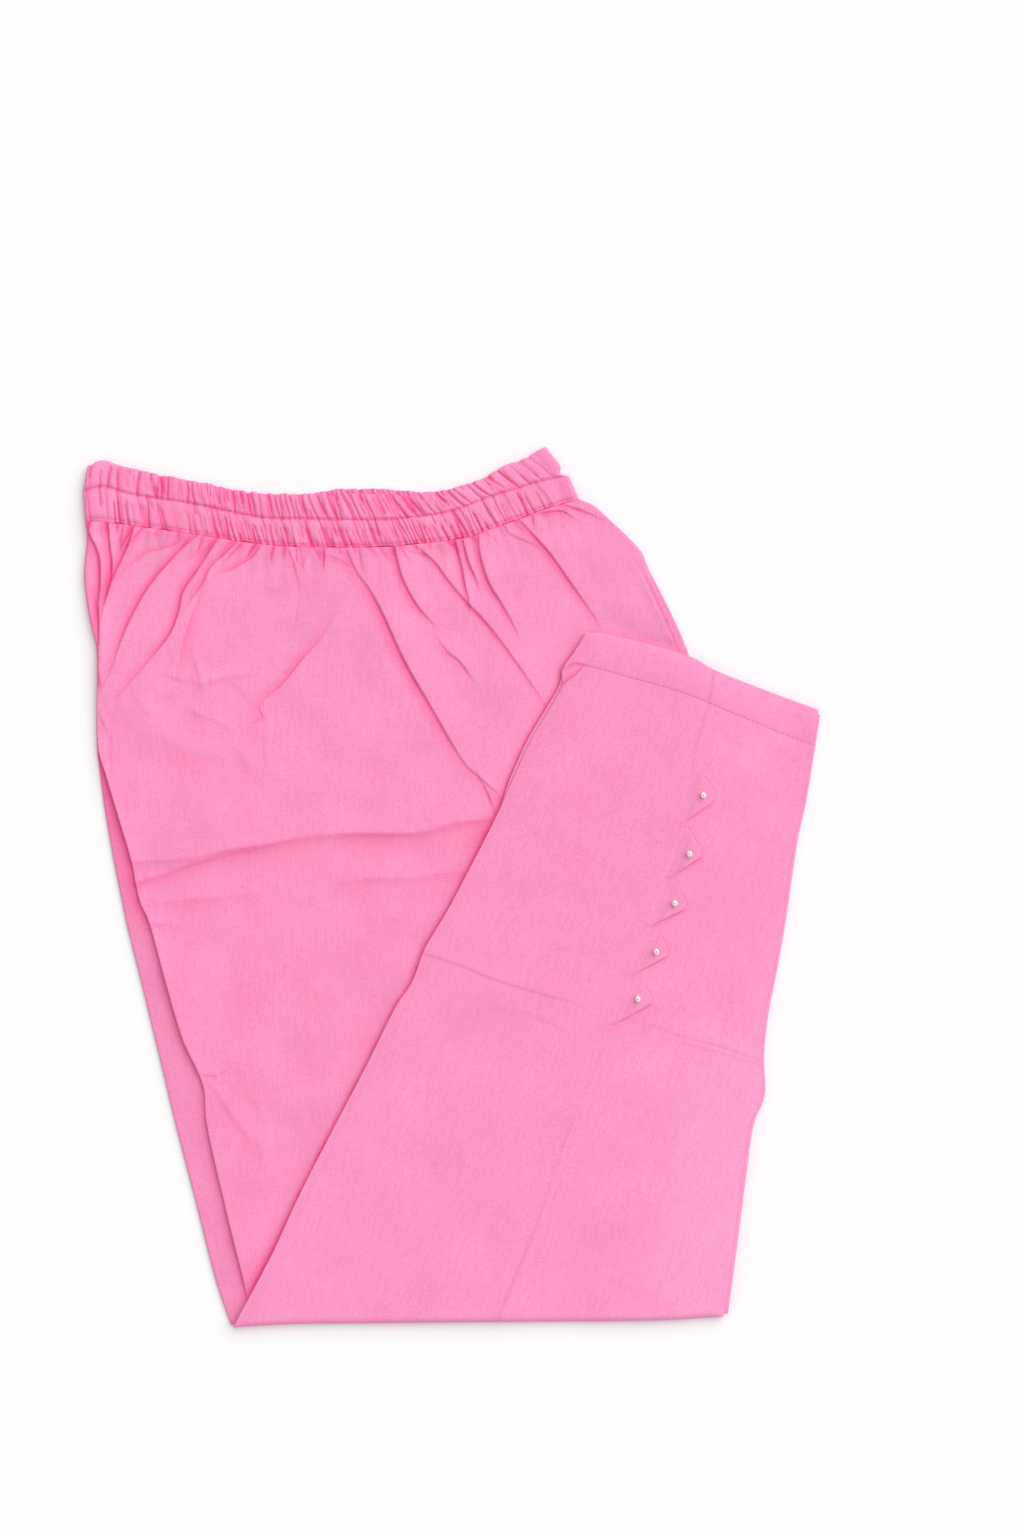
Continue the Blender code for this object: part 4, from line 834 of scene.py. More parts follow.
def ledge_relief(ledge, points):
    """The lift above a pressed edge with the drop below it, and how much shade is painted at each point by
    it.
    """
    line = smooth_line(ledge.route, 3.0)
    gap, along, beyond = measure_open(line, points)
    share = along / walked(line)[-1]
    envelope = tapered(ledge, share, LEDGE_GROWTH, LEDGE_FADE_FROM)
    envelope *= 1 + LEDGE_UNEVEN * np.sin(along / LEDGE_UNEVEN_LENGTH + ledge.drop)
    envelope *= fading(beyond, LEDGE_END_REACH)
    fall = np.abs(gap) / ledge.reach
    below = -ledge.drop * fall * np.exp(1 - fall)
    lift = ledge.height * fading(gap, ledge.reach)
    painted_shade = LEDGE_SHADE * ledge.drop * np.where(gap < 0, np.exp(-fall * LEDGE_SHADE_FALL), fading(gap, 1.0))
    return envelope * np.where(gap < 0, lift + below, lift), envelope * painted_shade


def summed(reliefs):
    """The sum of the lifts and of the painted shades."""
    lifts, painted_shades = zip(*reliefs)
    return sum(lifts), sum(painted_shades)


def gather_creases():
    """Short uneven pleats below the band, which fan out as the cloth pulls."""
    rng = np.random.default_rng(23)
    creases = []
    place = GATHER_FIRST
    while place < WAIST_LENGTH - GATHER_LAST:
        share = place / WAIST_LENGTH
        root = points_at(WAIST_SEAM, [place])[0]
        lean = np.interp(share, *zip(*GATHER_LEAN)) + rng.uniform(-GATHER_TURN, GATHER_TURN)
        turn = math.radians(lean)
        down = np.array([math.sin(turn), -math.cos(turn)])
        bend = np.array([down[1], -down[0]]) * rng.uniform(-GATHER_BEND, GATHER_BEND)
        reach = rng.choice(GATHER_REACHES, p=GATHER_ODDS) * rng.uniform(0.8, 1.25)
        size = rng.uniform(0.5, 1.0) * (0.7 + 0.3 * min(1.0, reach / 12.0))
        size *= 1.0 - GATHER_SMALLER * float(ease(share, *GATHER_SHRINKS))
        route = [tuple(root - 3.0 * down), tuple(root), tuple(root + 0.5 * reach * down + bend),
                 tuple(root + reach * down)]
        if rng.random() < GATHER_REVERSED:
            route.reverse()
        facing = (0.0, 1.0) if route[0][1] < route[-1][1] else (1.0, 0.0)
        creases.append(Crease(route, GATHER_HEIGHT * size, GATHER_VALLEY * size, GATHER_FOOT,
                              rng.uniform(*GATHER_GENTLE), *facing, rng.uniform(*GATHER_POOL)))
        place += rng.uniform(*GATHER_GAPS)
    return creases


GATHER_CREASES = gather_creases()


def soft_limit(lift, deepest):
    """Heights and depths that level off at the cloth's limits."""
    high = CREST_LIMIT * np.tanh(lift / CREST_LIMIT)
    low = deepest * np.tanh(lift / deepest)
    return np.where(lift > 0, high, low)


def body_relief(points):
    """The upper face of the body's front, and the shade painted at each point, with a random mottling."""
    lift, painted_shade = summed([crease_relief(crease, points) for crease in BODY_CREASES + GATHER_CREASES]
                        + [ledge_relief(ledge, points) for ledge in BODY_LEDGES])
    lift += sum(waves(points, *swell) for swell in BODY_SWELLS)
    height = points[:, 1]
    edge = gap_from(BODY_LEFT, points)
    lift += ROLL_HEIGHT * between(height, *ROLLED) * fading(edge, ROLL_REACH)
    seam, along = measure(evenly(WAIST_SEAM, 4.0), points)
    lift += PUFF_HEIGHT * wavering(along, *PUFF_WAVERS) * fading(seam, PUFF_REACH)
    frontier = gap_from(LEG_FRONTIER, points)
    loft = OPEN_LOFT * ease(frontier, PRESSED, CLOTH_RISEN)
    lift = loft + soft_limit(lift, PRESSED_DEPTH + loft) * ease(frontier, PRESSED, CREASES_RISEN)
    drawn = ease(np.abs(seam), 0.0, SEAM_REACH)
    lift = lift * (1 - SEAM_FLATTER + SEAM_FLATTER * drawn) - SEAM_DRAWN * (1 - drawn)
    beside_leg = 1 - ease(points[:, 0], *BESIDE_LEG)
    deeper = sum(hump(height - place, reach) for place, reach in DEEPER_BESIDE_LEG)
    painted_shade += beside_leg * LEG_LINE_SHADE * fading(frontier, LEG_LINE_REACH)
    painted_shade += beside_leg * (LEG_FOOT_SHADE + DEEPER_SHADE * deeper) * fading(frontier, LEG_FOOT_REACH)
    broken = SEAM_SHADE * wavering(along, *SEAM_SHADE_WAVERS)
    painted_shade += broken * fading(seam, SEAM_SHADE_REACH) + BELOW_SEAM_SHADE * fading(seam, BELOW_SEAM_REACH)
    painted_shade += LEFT_EDGE_SHADE * fading(edge, LEFT_EDGE_REACH) * ease(height, *LEFT_EDGE_DEEPER)
    painted_shade += BODY_SHADE + LOW_BODY_SHADE * (1 - ease(height, *LOW_BODY)) + waves(points, *BODY_MOTTLING)
    return FRONT_LEVEL + CLOTH + lift, painted_shade


def body_top(points):
    """The upper face of the body's front."""
    return body_relief(points)[0]


def body_painted_shade(points):
    """How much shade is painted at each point of the body."""
    return body_relief(points)[1]


def sink(points):
    """How far the turned-up leg has sunk to the surface beside the body, from 0 to 1."""
    return ease(gap_from(BODY_RIGHT, points), SINK_START, SINK_START + SINK_LENGTH)


def leg_under(points):
    """The under side of the turned-up layers: on the body, or on the surface beside it."""
    return LEG_LEVEL * (1.0 - sink(points))


def leg_pressed(points):
    """How far the leg is pressed down along the edge that it shows on the body."""
    return LEG_PRESS * hump(gap_from(LEG_FRONTIER, points), LEG_PRESS_REACH)


def leg_crown(points):
    """The level of the leg's outer cloth without its creases."""
    fall = LEG_FALL * ease(gap_from(BODY_RIGHT, points), FALL_START, FALL_END)
    return LEG_LEVEL + LEG_STACK + SEAM_GAP + CLOTH - fall - leg_pressed(points)


def leg_inner_top(points):
    """The upper side of the turned-up layers, under the outer cloth, and close to it where they show."""
    gap = gap_from(evenly(FOLD_LINE, ROUGH_STEP), points)
    turned = 1 - ease(gap, 0.0, TURN_LOWER_REACH)
    plain = leg_crown(points) - CLOTH - SEAM_GAP - TURN_LOWER * turned
    near = hump(gap_from(LEG_RIGHT, points), LAYERS_REACH) * ease(gap, *LAYERS_AT_RIGHT)
    near += between(points[:, 1], *LAYERS_AT_LEFT) * hump(gap_from(LEG_LEFT, points), LAYERS_REACH)
    return plain + np.clip(near, 0.0, 1.0) * (leg_top(points) - THIN - LAYER_STEP - plain)


def layers_painted_shade(points):
    """The shade painted on the turned-up layers next to the edge of the outer cloth, and the light painted
    further out at the right.
    """
    right, left = gap_from(LEG_RIGHT, points), gap_from(LEG_LEFT, points)
    painted_light = LAYERS_PALER * ease(right, *LAYERS_PALER_OUT)
    at_right = LAYERS_RIGHT_SHADE * fading(right, LAYERS_RIGHT_REACH)
    return at_right - painted_light + LAYERS_LEFT_SHADE * fading(left, LAYERS_LEFT_REACH)


def leg_relief(points):
    """The upper face of the leg, thicker over its turned hem, and the shade and light painted at each point,
    with a random mottling.
    """
    across, height = points.T
    lift, painted_shade = summed([crease_relief(crease, points) for crease in LEG_CREASES])
    lift += sum(waves(points, *swell) for swell in LEG_SWELLS)
    gap = gap_from(evenly(SEAM_LINE, MEASURE_STEP), points)
    bare = 1 - between(height, *TABS_COVER)
    ridge = SEAM_RIDGE * hump(gap - SEAM_RIDGE_AT, SEAM_RIDGE_REACH)
    lift += bare * (ridge - SEAM_GROOVE * hump(gap, GROOVE_REACH))
    lift += bare * SEAM_ALLOWANCE * (ease(gap, *ALLOWANCE_UP) - ease(gap, *ALLOWANCE_DOWN))
    lift += (1 - bare) * TAB_PANEL_RISE * ease(gap, *TAB_PANEL_UP) * (1 - ease(gap, *TAB_PANEL_DOWN))
    stitch = gap_from(evenly(STITCH_LINE, MEASURE_STEP), points)
    hem = HEM_EXTRA * ease(stitch, *HEM_RISES) - STITCH_GROOVE * hump(stitch, GROOVE_REACH)
    seam_shade = LOW_SEAM_SHADE * (1 - ease(height, *LOW_SEAM)) + HIGH_SEAM_SHADE * ease(height, *HIGH_SEAM)
    painted_shade += seam_shade * fading(gap, SIDE_SEAM_REACH) + STITCH_SHADE * fading(stitch, STITCH_REACH)
    for tab in TABS:
        upper = gap_from(np.array([tab.base_top, tab.shoulder]), points)
        lower = gap_from(np.array([tab.base_bottom, tab.tip]), points)
        painted_shade += (TAB_UPPER_SHADE * fading(upper, TAB_UPPER_REACH)
                 + TAB_LOWER_SHADE * fading(lower, TAB_LOWER_REACH))
    low = 1 - ease(height, *LEG_BELOW)
    painted_light = ease(across, *TOWARDS_RIGHT) * (LEG_PALER_ABOVE + (1 - LEG_PALER_ABOVE) * low)
    at_hem = fading(gap_from(evenly(HEM_LINE, MEASURE_STEP), points), HEM_PALER_REACH)
    painted_shade += LEG_ABOVE_SHADE * (1 - low) - LEG_PALER * painted_light - HEM_PALER * at_hem
    painted_shade += waves(points, *LEG_MOTTLING)
    return leg_crown(points) + lift + hem, painted_shade


def leg_top(points):
    """The upper face of the turned-up leg."""
    return leg_relief(points)[0]


def leg_painted_shade(points):
    """How much shade and light is painted at each point of the leg."""
    return leg_relief(points)[1]


def lowest_near(spots, heights):
    """A function of points: the lowest of the heights about a cell round each of them."""
    corner = spots.min(axis=0) - 2 * CELL
    shape = np.ceil((spots.max(axis=0) - corner) / CELL).astype(int) + 3
    low = np.full(shape, np.inf)
    np.minimum.at(low, tuple(((spots - corner) / CELL).astype(int).T), heights)
    spread = low.copy()
    for right in (-1, 0, 1):
        for up in (-1, 0, 1):
            spread = np.minimum(spread, np.roll(low, (right, up), axis=(0, 1)))
    spread[np.isinf(spread)] = heights.min()

    def at(points):
        index = np.clip(((points - corner) / CELL).astype(int), 0, shape - 1)
        return spread[tuple(index.T)]

    return at


# Meshes

def linked(name, data):
    """A new object in the scene."""
    made = bpy.data.objects.new(name, data)
    bpy.context.collection.objects.link(made)
    return made


def add_object(name, points, faces, finish, painted_shade=None):
    """One smooth-shaded object from points in millimetres, with the shade painted at each of them."""
    mesh = bpy.data.meshes.new(name)
    mesh.from_pydata((np.asarray(points, dtype=float) * MM).tolist(), [], faces)
    mesh.materials.append(finish)
    mesh.shade_smooth()
    # Each point gets the base amount of painted shade, plus the shade or less the light painted on it
    shade = BASE_SHADE + (np.zeros(len(points)) if painted_shade is None else painted_shade)
    values = mesh.attributes.new("painted_shade", "FLOAT", "POINT")
    values.data.foreach_set("value", np.clip(shade, 0.0, 1.0).astype(np.float32))
    mesh.validate()
    return linked(name, mesh)


def lattice(outline, step, lowest=-math.inf):
    """A triangular lattice of points inside an outline, above its lowest place."""
    low, high = outline.min(axis=0), outline.max(axis=0)
    rows = []
    for k, y in enumerate(np.arange(max(low[1], lowest), high[1], step * math.sqrt(3) / 2)):
        x = np.arange(low[0] + step * 0.5 * (k % 2), high[0], step)
        rows.append(np.column_stack([x, np.full(len(x), y)]))
    spots = np.vstack(rows)
    return spots[within(evenly(closed(outline), 4.0)[:-1], spots)]


def runs_within(ring, lines, margin):
    """The stretches of lines that lie inside a ring and clear of it."""
    coarse = evenly(closed(ring), 3.0)[:-1]
    stretches = []
    for line in lines:
        keep = within(coarse, line)
        if keep.any():
            keep &= np.abs(gap_from(closed(ring), line)) > margin
        breaks = np.flatnonzero(np.diff(np.concatenate([[0], keep.astype(int), [0]])))
        for start, end in breaks.reshape(-1, 2):
            if end - start > 1:
                stretches.append(line[start:end])
    return stretches


def triangles_over(ring, lines, loose, margin):
    """Triangles over a ring, with the lines as edges. Returns the added points and the triangles."""
    stretches = runs_within(ring, lines, margin)
    fixed = np.vstack([ring, *stretches])
    points = np.vstack([fixed, far_from(loose, fixed, margin)])
    edges = []
    first = len(ring)
    for stretch in stretches:
        edges += [(i, i + 1) for i in range(first, first + len(stretch) - 1)]
        first += len(stretch)
    made = delaunay_2d_cdt([Vector(p) for p in points], edges, [list(range(len(ring)))], 1, 1e-5)
    index_of, added = [], []
    for spot, sources in zip(made[0], made[3]):
        rims = [s for s in sources if s < len(ring)]
        index_of.append(rims[0] if rims else len(ring) + len(added))
        if not rims:
            added.append(tuple(spot))
    return np.array(added).reshape(-1, 2), [[index_of[i] for i in face] for face in made[2]]


def closed_shell(name, rings, faces_top, faces_under, finish, painted_shade=None):
    """A closed body from rings of points and the faces over its first and last ring.

    Each of `faces_top` and `faces_under` is a pair: the added points (x, y, z) and the triangles.
    """
    count = len(rings[0])
    inner = np.arange(count)
    ahead = np.roll(inner, -1)
    faces = []
    for k in range(len(rings) - 1):
        quads = np.column_stack([ahead + k * count, inner + k * count, inner + (k + 1) * count,
                                 ahead + (k + 1) * count])
        faces += quads.tolist()
    points = np.vstack(rings)
    for (added, triangles), first, turned in ((faces_top, 0, 1), (faces_under, len(points) - count, -1)):
        shift = len(points) - count
        points = np.vstack([points, added.reshape(-1, 3)])
        faces += [[i + first if i < count else i + shift for i in face][::turned] for face in triangles]
    return add_object(name, points, faces, finish, None if painted_shade is None else painted_shade(points[:, :2]))


def with_height(flat, heights):
    """Points (x, y, z) from points (x, y) and their heights."""
    return np.column_stack([flat, heights])


# The edge of a thin cloth, from its upper face round to its under side
RimRow = namedtuple("RimRow", "inset share")
THIN_RIM = [
    RimRow(0.50, 1.0), RimRow(0.22, 0.96), RimRow(0.06, 0.80), RimRow(0.0, 0.5), RimRow(0.1, 0.12),
    RimRow(0.4, 0.0),
]
# The edge of one folded layer among others, from its upper side down, how far each layer is in, and how
# many of them the body's and the leg's hidden stacks show
FOLDED_EDGE = [RimRow(0.5, 0.04), RimRow(0.14, 0.26), RimRow(0.0, 0.5), RimRow(0.14, 0.74), RimRow(0.5, 0.96)]
LAYER_INSETS = [0.05, 0.2, 0.45, 0.15]
BODY_LAYERS = 2
LEG_LAYERS = 4


def layered_rim(layers):
    """The edge of folded layers of cloth that lie on each other."""
    rows = [RimRow(1.6, 1.0)]
    for k in range(layers):
        for row in FOLDED_EDGE:
            rows.append(RimRow(LAYER_INSETS[k] + row.inset, 1 - (k + row.share) / layers))
    rows.append(RimRow(0.9, 0.0))
    return rows


def cloth_piece(name, outline, rim, lines, loose, top, under, finish, under_step=4.0, margin=0.75,
                painted_shade=None):
    """A closed piece of cloth with one edge profile all round.

    `under` is a function of points, or the level that the thin cloth comes down to at its edge.
    """
    insets = [np.full(len(outline), SEAM_GAP / 2 + row.inset) for row in rim]
    first = moved_in(outline, insets[0])
    added, triangles = triangles_over(first, lines, loose, margin)
    crown, high = top(added), top(first)
    upper = (with_height(added, crown), triangles)
    thin = not callable(under)
    low = np.full(len(first), under) if thin else under(first)
    rings = [with_height(moved_in(outline, inset), low + row.share * (high - low))
             for row, inset in zip(rim, insets)]
    inner = rings[-1][:, :2]
    added, triangles = triangles_over(inner, [], lattice(inner, under_step), margin)
    if thin:
        lowest = lowest_near(upper[0][:, :2], crown)
        levels = np.maximum(under, lowest(added) - THIN)
    else:
        levels = under(added)
    return closed_shell(name, rings, upper, (with_height(added, levels), triangles), finish, painted_shade)


def crease_lines(creases, ledges=()):
    """The valley and the crest of each crease, and the edge of each ledge."""
    lines = []
    for crease in creases:
        line = crease_points(crease)
        wall = wall_width(crease)
        across = normals_of(line)
        for offset in (-BESIDE_LINE, 0.0, wall, wall + CREST_ROUND):
            lines.append(line + across * offset)
    lines += [smooth_line(ledge.route, LINE_STEP) for ledge in ledges]
    return lines


def zoned(outline, zones):
    """Points inside an outline, each zone with its own spacing, lowest place and test."""
    found = []
    for step, lowest, chosen in zones:
        spots = lattice(outline, step, lowest)
        found.append(spots[chosen(spots)])
    return np.vstack(found)


# Finishes

class Nodes:
    """A material's node tree with short ways to add and join nodes."""

    def __init__(self, name):
        self.material = bpy.data.materials.new(name)
        self.material.use_nodes = True
        self.tree = self.material.node_tree
        self.place = self.add("ShaderNodeTexCoord").outputs["Object"]

    def add(self, kind, **settings):
        node = self.tree.nodes.new(kind)
        for key, value in settings.items():
            setattr(node, key, value)
        return node

    def join(self, start, end):
        self.tree.links.new(start, end)

    def noise(self, turn, scale, detail=3.0, roughness=0.6):
        """Noise whose grains are 1/scale metres long along each axis, turned about Z."""
        mapping = self.add("ShaderNodeMapping")
        mapping.inputs["Rotation"].default_value = (0.0, 0.0, turn)
        self.join(self.place, mapping.inputs["Vector"])
        stretch = self.add("ShaderNodeMapping")
        stretch.inputs["Scale"].default_value = scale if isinstance(scale, tuple) else (scale,) * 3
        self.join(mapping.outputs["Vector"], stretch.inputs["Vector"])
        noise = self.add("ShaderNodeTexNoise")
        noise.inputs["Scale"].default_value = 1.0
        noise.inputs["Detail"].default_value = detail
        noise.inputs["Roughness"].default_value = roughness
        self.join(stretch.outputs["Vector"], noise.inputs["Vector"])
        return noise.outputs["Fac"]

    def blend(self, *parts):
        """The sum of sockets, each with its share."""
        total = None
        for value, share in parts:
            part = self.add("ShaderNodeMath", operation="MULTIPLY")
            part.inputs[1].default_value = share
            self.join(value, part.inputs[0])
            if total is not None:
                both = self.add("ShaderNodeMath", operation="ADD")
                self.join(total, both.inputs[0])
                self.join(part.outputs["Value"], both.inputs[1])
                part = both
            total = part.outputs["Value"]
        return total

    def ramp(self, value, places, colour, shares):
        """A colour that goes from its first share to its second as a value passes the two places."""
        node = self.add("ShaderNodeValToRGB")
        for element, place, share in zip(node.color_ramp.elements, places, shares):
            element.position = place
            element.color = (*toned(colour, share), 1.0)
        self.join(value, node.inputs["Fac"])
        return node.outputs["Color"]

    def tinted(self, colour, factor, tint):
        """A colour that is multiplied by a tint as far as a factor says."""
        node = self.add("ShaderNodeMix", data_type="RGBA", blend_type="MULTIPLY")
        node.inputs["B"].default_value = (*tint, 1.0)
        self.join(factor, node.inputs["Factor"])
        self.join(colour, node.inputs["A"])
        return node.outputs["Result"]

    def finish(self, colour, settings, normal=None):
        """The material, with its colour, its constant settings and its relief joined to the shader."""
        shader = self.tree.nodes["Principled BSDF"]
        self.join(colour, shader.inputs["Base Color"])
        for socket, value in settings.items():
            shader.inputs[socket].default_value = value
        if normal:
            self.join(normal, shader.inputs["Normal"])
        return self.material


def toned(colour, shares):
    """A colour made darker or lighter, by one share or by one for each of its parts."""
    return np.minimum(1.0, np.multiply(colour, shares))


def cotton(name, colour, turn):
    """Plain-woven cotton: slubs along the warp and the weft, a fine grain and faint patches, with the shade
    painted on the mesh as a deeper tint, and lilac clouds.
    """
    nodes = Nodes(name)
    warp, weft, grain = nodes.noise(turn, WARP), nodes.noise(turn, WEFT), nodes.noise(turn, GRAIN)
    patches = nodes.noise(turn, PATCHES, detail=2.0, roughness=0.5)
    threads = nodes.blend(*zip((warp, weft, grain), THREAD_MIX))
    tone = nodes.blend(*zip((threads, patches), TONE_MIX))
    woven = nodes.ramp(tone, WOVEN_RANGE, colour, WOVEN_SHARES)
    # Shade painted on the mesh's points tints the woven colour deeper pink
    painted_shade = nodes.add("ShaderNodeAttribute", attribute_name="painted_shade").outputs["Fac"]
    painted_darker = nodes.tinted(woven, painted_shade, PAINTED_SHADE_TINT)
    clouds = nodes.noise(turn + CLOUD_TURN, CLOUDS, detail=2.0, roughness=0.5)
    spread = nodes.add("ShaderNodeMapRange")
    spread.inputs["From Min"].default_value, spread.inputs["From Max"].default_value = CLOUD_RANGE
    nodes.join(clouds, spread.inputs["Value"])
    lilac = nodes.tinted(painted_darker, spread.outputs["Result"], LILAC_TINT)
    bump = nodes.add("ShaderNodeBump")
    bump.inputs["Strength"].default_value = WEAVE_STRENGTH
    bump.inputs["Distance"].default_value = WEAVE_RELIEF
    nodes.join(threads, bump.inputs["Height"])
    return nodes.finish(lilac, COTTON_SURFACE, bump.outputs["Normal"])


def thread(name, colour):
    """Sewing thread with its twist."""
    nodes = Nodes(name)
    twist = nodes.noise(TWIST_TURN, TWIST, detail=2.0)
    strand = nodes.ramp(twist, SMOOTH_RANGE, colour, TWIST_SHARES)
    return nodes.finish(strand, {"Roughness": 0.75})


def pearl(name, colour):
    """A cream pearl with a soft gloss and slightly uneven colour."""
    nodes = Nodes(name)
    cloud = nodes.noise(0.0, PEARL_CLOUDS, detail=2.0)
    cream = nodes.ramp(cloud, SMOOTH_RANGE, colour, PEARL_SHARES)
    return nodes.finish(cream, PEARL_SURFACE)


# Pieces of the body

def inner_end(left, right):
    """The lower end of hidden layers, inside the turn of the outer cloth at the bottom fold."""
    inner = [(x, y + INNER_CLEAR) for x, y in FOLD_EDGE[1:-1]]
    return smooth_line([left, *inner, right], EDGE_STEP)


def body_sides(column):
    """The left side, the lower end and the right side of a layer of the body, anticlockwise."""
    left, right = side(LEFT_SIDE, column), side(RIGHT_SIDE, column)
    left_end = np.array(APEX) if column == "under" else left[-1] + np.array([0.6, 2.0])
    return left[:-2], inner_end(left_end, right[-1]), right[::-1]


def build_body_front(finish):
    """Both front panels as one cloth over the back, with every crease."""
    outline, _ = chain(*body_sides("top"), WAIST_SEAM[::-1])
    frontier = evenly(LEG_FRONTIER, ROUGH_STEP)
    seam = evenly(WAIST_SEAM, 8.0)

    def shown(points):
        return gap_from(frontier, points) > -4.0

    def gathered(points):
        return np.abs(gap_from(seam, points)) < GATHERED_REACH

    loose = zoned(outline, [
        (GATHERED_STEP, GATHERED_ABOVE, lambda p: shown(p) & gathered(p)),
        (CREASED_STEP, SMOOTH_BELOW, lambda p: shown(p) & ~gathered(p)),
        (SMOOTH_STEP, -math.inf, lambda p: shown(p) & ~gathered(p) & (p[:, 1] <= SMOOTH_BELOW)),
        (HIDDEN_STEP, -math.inf, lambda p: ~shown(p)),
    ])
    lines = crease_lines(BODY_CREASES + GATHER_CREASES, BODY_LEDGES)
    return cloth_piece("body_front", outline, THIN_RIM, lines, loose, body_top, FRONT_LEVEL - SEAM_GAP / 2,
                       finish, painted_shade=body_painted_shade)


def build_body_back(finish):
    """Both backs and the leg below, as one rounded stack with a layered edge."""
    outline, _ = chain(*body_sides("under"), WAIST_SEAM[::-1])

    def top(points):
        return BACK_STACK - BACK_ROUNDED * fading(gap_from(side(LEFT_SIDE, "under", 4.0), points), 4.0)

    def under(points):
        return np.zeros(len(points))

    def beside_front(points):
        return np.abs(gap_from(evenly(BODY_LEFT, 6.0), points)) < BACK_FINE_REACH

    # The shadow of the front's edge, painted on the stack beside it
    def painted_darker(points):
        upper = ease(points[:, 1], *BACK_DEEPER)
        reach = BACK_SHADE_REACH + BACK_REACH_MORE * upper
        return (BACK_SHADE + BACK_SHADE_MORE * upper) * fading(gap_from(BODY_LEFT, points), reach)

    loose = zoned(outline, [
        (SMOOTH_STEP, -math.inf, beside_front),
        (HIDDEN_STEP, -math.inf, lambda p: ~beside_front(p)),
    ])
    return cloth_piece("body_back", outline, layered_rim(BODY_LAYERS), [], loose, top, under, finish,
                       under_step=8.0, painted_shade=painted_darker)


# Pieces of the turned-up leg

def build_leg_layers(finish):
    """The hidden layers of the turned-up legs, as one rounded stack with a layered edge."""
    left, right = side(LEG_LEFT_SIDE, "under"), side(LEG_RIGHT_SIDE, "under")
    bottom = inner_end(left[-1] + np.array([1.2, 3.0]), right[-1])
    held_back = HEM_HELD_BACK * ease(HEM_LINE[:, 0], *HEM_HELD_FROM)
    hem = HEM_LINE - np.column_stack([np.zeros(len(HEM_LINE)), held_back])
    hem[-1, 0] = right[0, 0]
    outline, _ = chain(left[:-3], bottom, right[::-1][:-3], hem[::-1])
    return cloth_piece("lower_leg_layers", outline, layered_rim(LEG_LAYERS), [], lattice(outline, 5.0),
                       leg_inner_top, leg_under, finish, under_step=6.0, painted_shade=layers_painted_shade)


# The edge of the leg's outer cloth. On a side it is a thin wall; on the bottom fold it turns round all
# the layers, out at `turn` degrees on the outside or back up on the inside
WrapRow = namedtuple("WrapRow", "inset share turn inner")
WRAP_RIM = [WrapRow(*row) for row in (
    (0.50, 1.00, 90, 0.0), (0.30, 0.99, 72, 0.0), (0.15, 0.93, 54, 0.0), (0.05, 0.82, 36, 0.0),
    (0.00, 0.68, 18, 0.0), (0.00, 0.50, 0, 0.0), (0.00, 0.36, -18, 0.0), (0.05, 0.24, -36, 0.0),
    (0.12, 0.14, -54, 0.0), (0.20, 0.06, -76, 0.0), (0.45, 0.02, -60, 1.0), (0.70, 0.00, 0, 1.0),
    (1.20, 0.00, 60, 1.0),
)]


def build_leg(finish):
    """The outer cloth of the turned-up leg, from its hem down and round the bottom fold."""
    down_left = np.vstack([LEG_LEFT[:-1], FOLD_LINE[:1]])
    outline, source = chain(down_left, FOLD_LINE, LEG_RIGHT[::-1], HEM_LINE[::-1])
    corners = np.array([FOLD_LINE[0], FOLD_LINE[-1]])
    to_corner = np.linalg.norm(outline[:, None] - corners[None], axis=2).min(axis=1)
    on_fold = source == 1
    clear = ease(to_corner, 0.0, TURN_CORNER)
    turned = np.where(on_fold, 1.0, 1.0 - clear)
    turned = np.where(outline[:, 1] < TURNS_BELOW, turned, 0.0)
    reach = CORNER_REACH + (TURN_REACH - CORNER_REACH) * np.where(on_fold, clear, 0.0)
    crown = leg_top(moved_in(outline, SEAM_GAP / 2 + np.where(on_fold, reach, WRAP_RIM[0].inset)))
    low = crown - THIN
    rings = []
    for row in WRAP_RIM:
        turn = math.radians(row.turn)
        inside = row.inner * THIN
        wrap_inset = inside + (reach - inside) * (1 - math.cos(turn))
        wrap_height = 0.5 * crown + (0.5 * crown - inside) * math.sin(turn)
        inset = SEAM_GAP / 2 + np.where(on_fold, wrap_inset, row.inset)
        wall = low + row.share * (crown - low)
        ring = moved_in(outline, np.maximum(inset, SEAM_GAP / 2))
        rings.append(with_height(ring, wall + turned * (wrap_height - wall)))
    ridge_line = SEAM_LINE + BESIDE_SEAM * normals_of(SEAM_LINE)
    lines = crease_lines(LEG_CREASES) + [SEAM_LINE, ridge_line, STITCH_LINE]
    for offset in (-BESIDE_STITCHES, BESIDE_STITCHES):
        lines.append(STITCH_LINE + offset * normals_of(STITCH_LINE))
    for tab in TABS:
        for start, end in ((tab.base_top, tab.shoulder), (tab.base_bottom, tab.tip)):
            edge = evenly(np.array([start, end], dtype=float), LINE_STEP)
            lines += [edge + offset * normals_of(edge) for offset in (-BESIDE_TAB, 0.0, BESIDE_TAB)]
    added, triangles = triangles_over(rings[0][:, :2], lines, lattice(outline, SMOOTH_STEP), 0.6)
    upper = (with_height(added, leg_top(added)), triangles)
    lowest = lowest_near(added, upper[0][:, 2])
    inner = rings[-1][:, :2]
    added, triangles = triangles_over(inner, [], lattice(inner, 5.0), 0.9)
    lower = (with_height(added, lowest(added) - THIN), triangles)
    return closed_shell("lower_leg", rings, upper, lower, finish, leg_painted_shade)


# The waistband

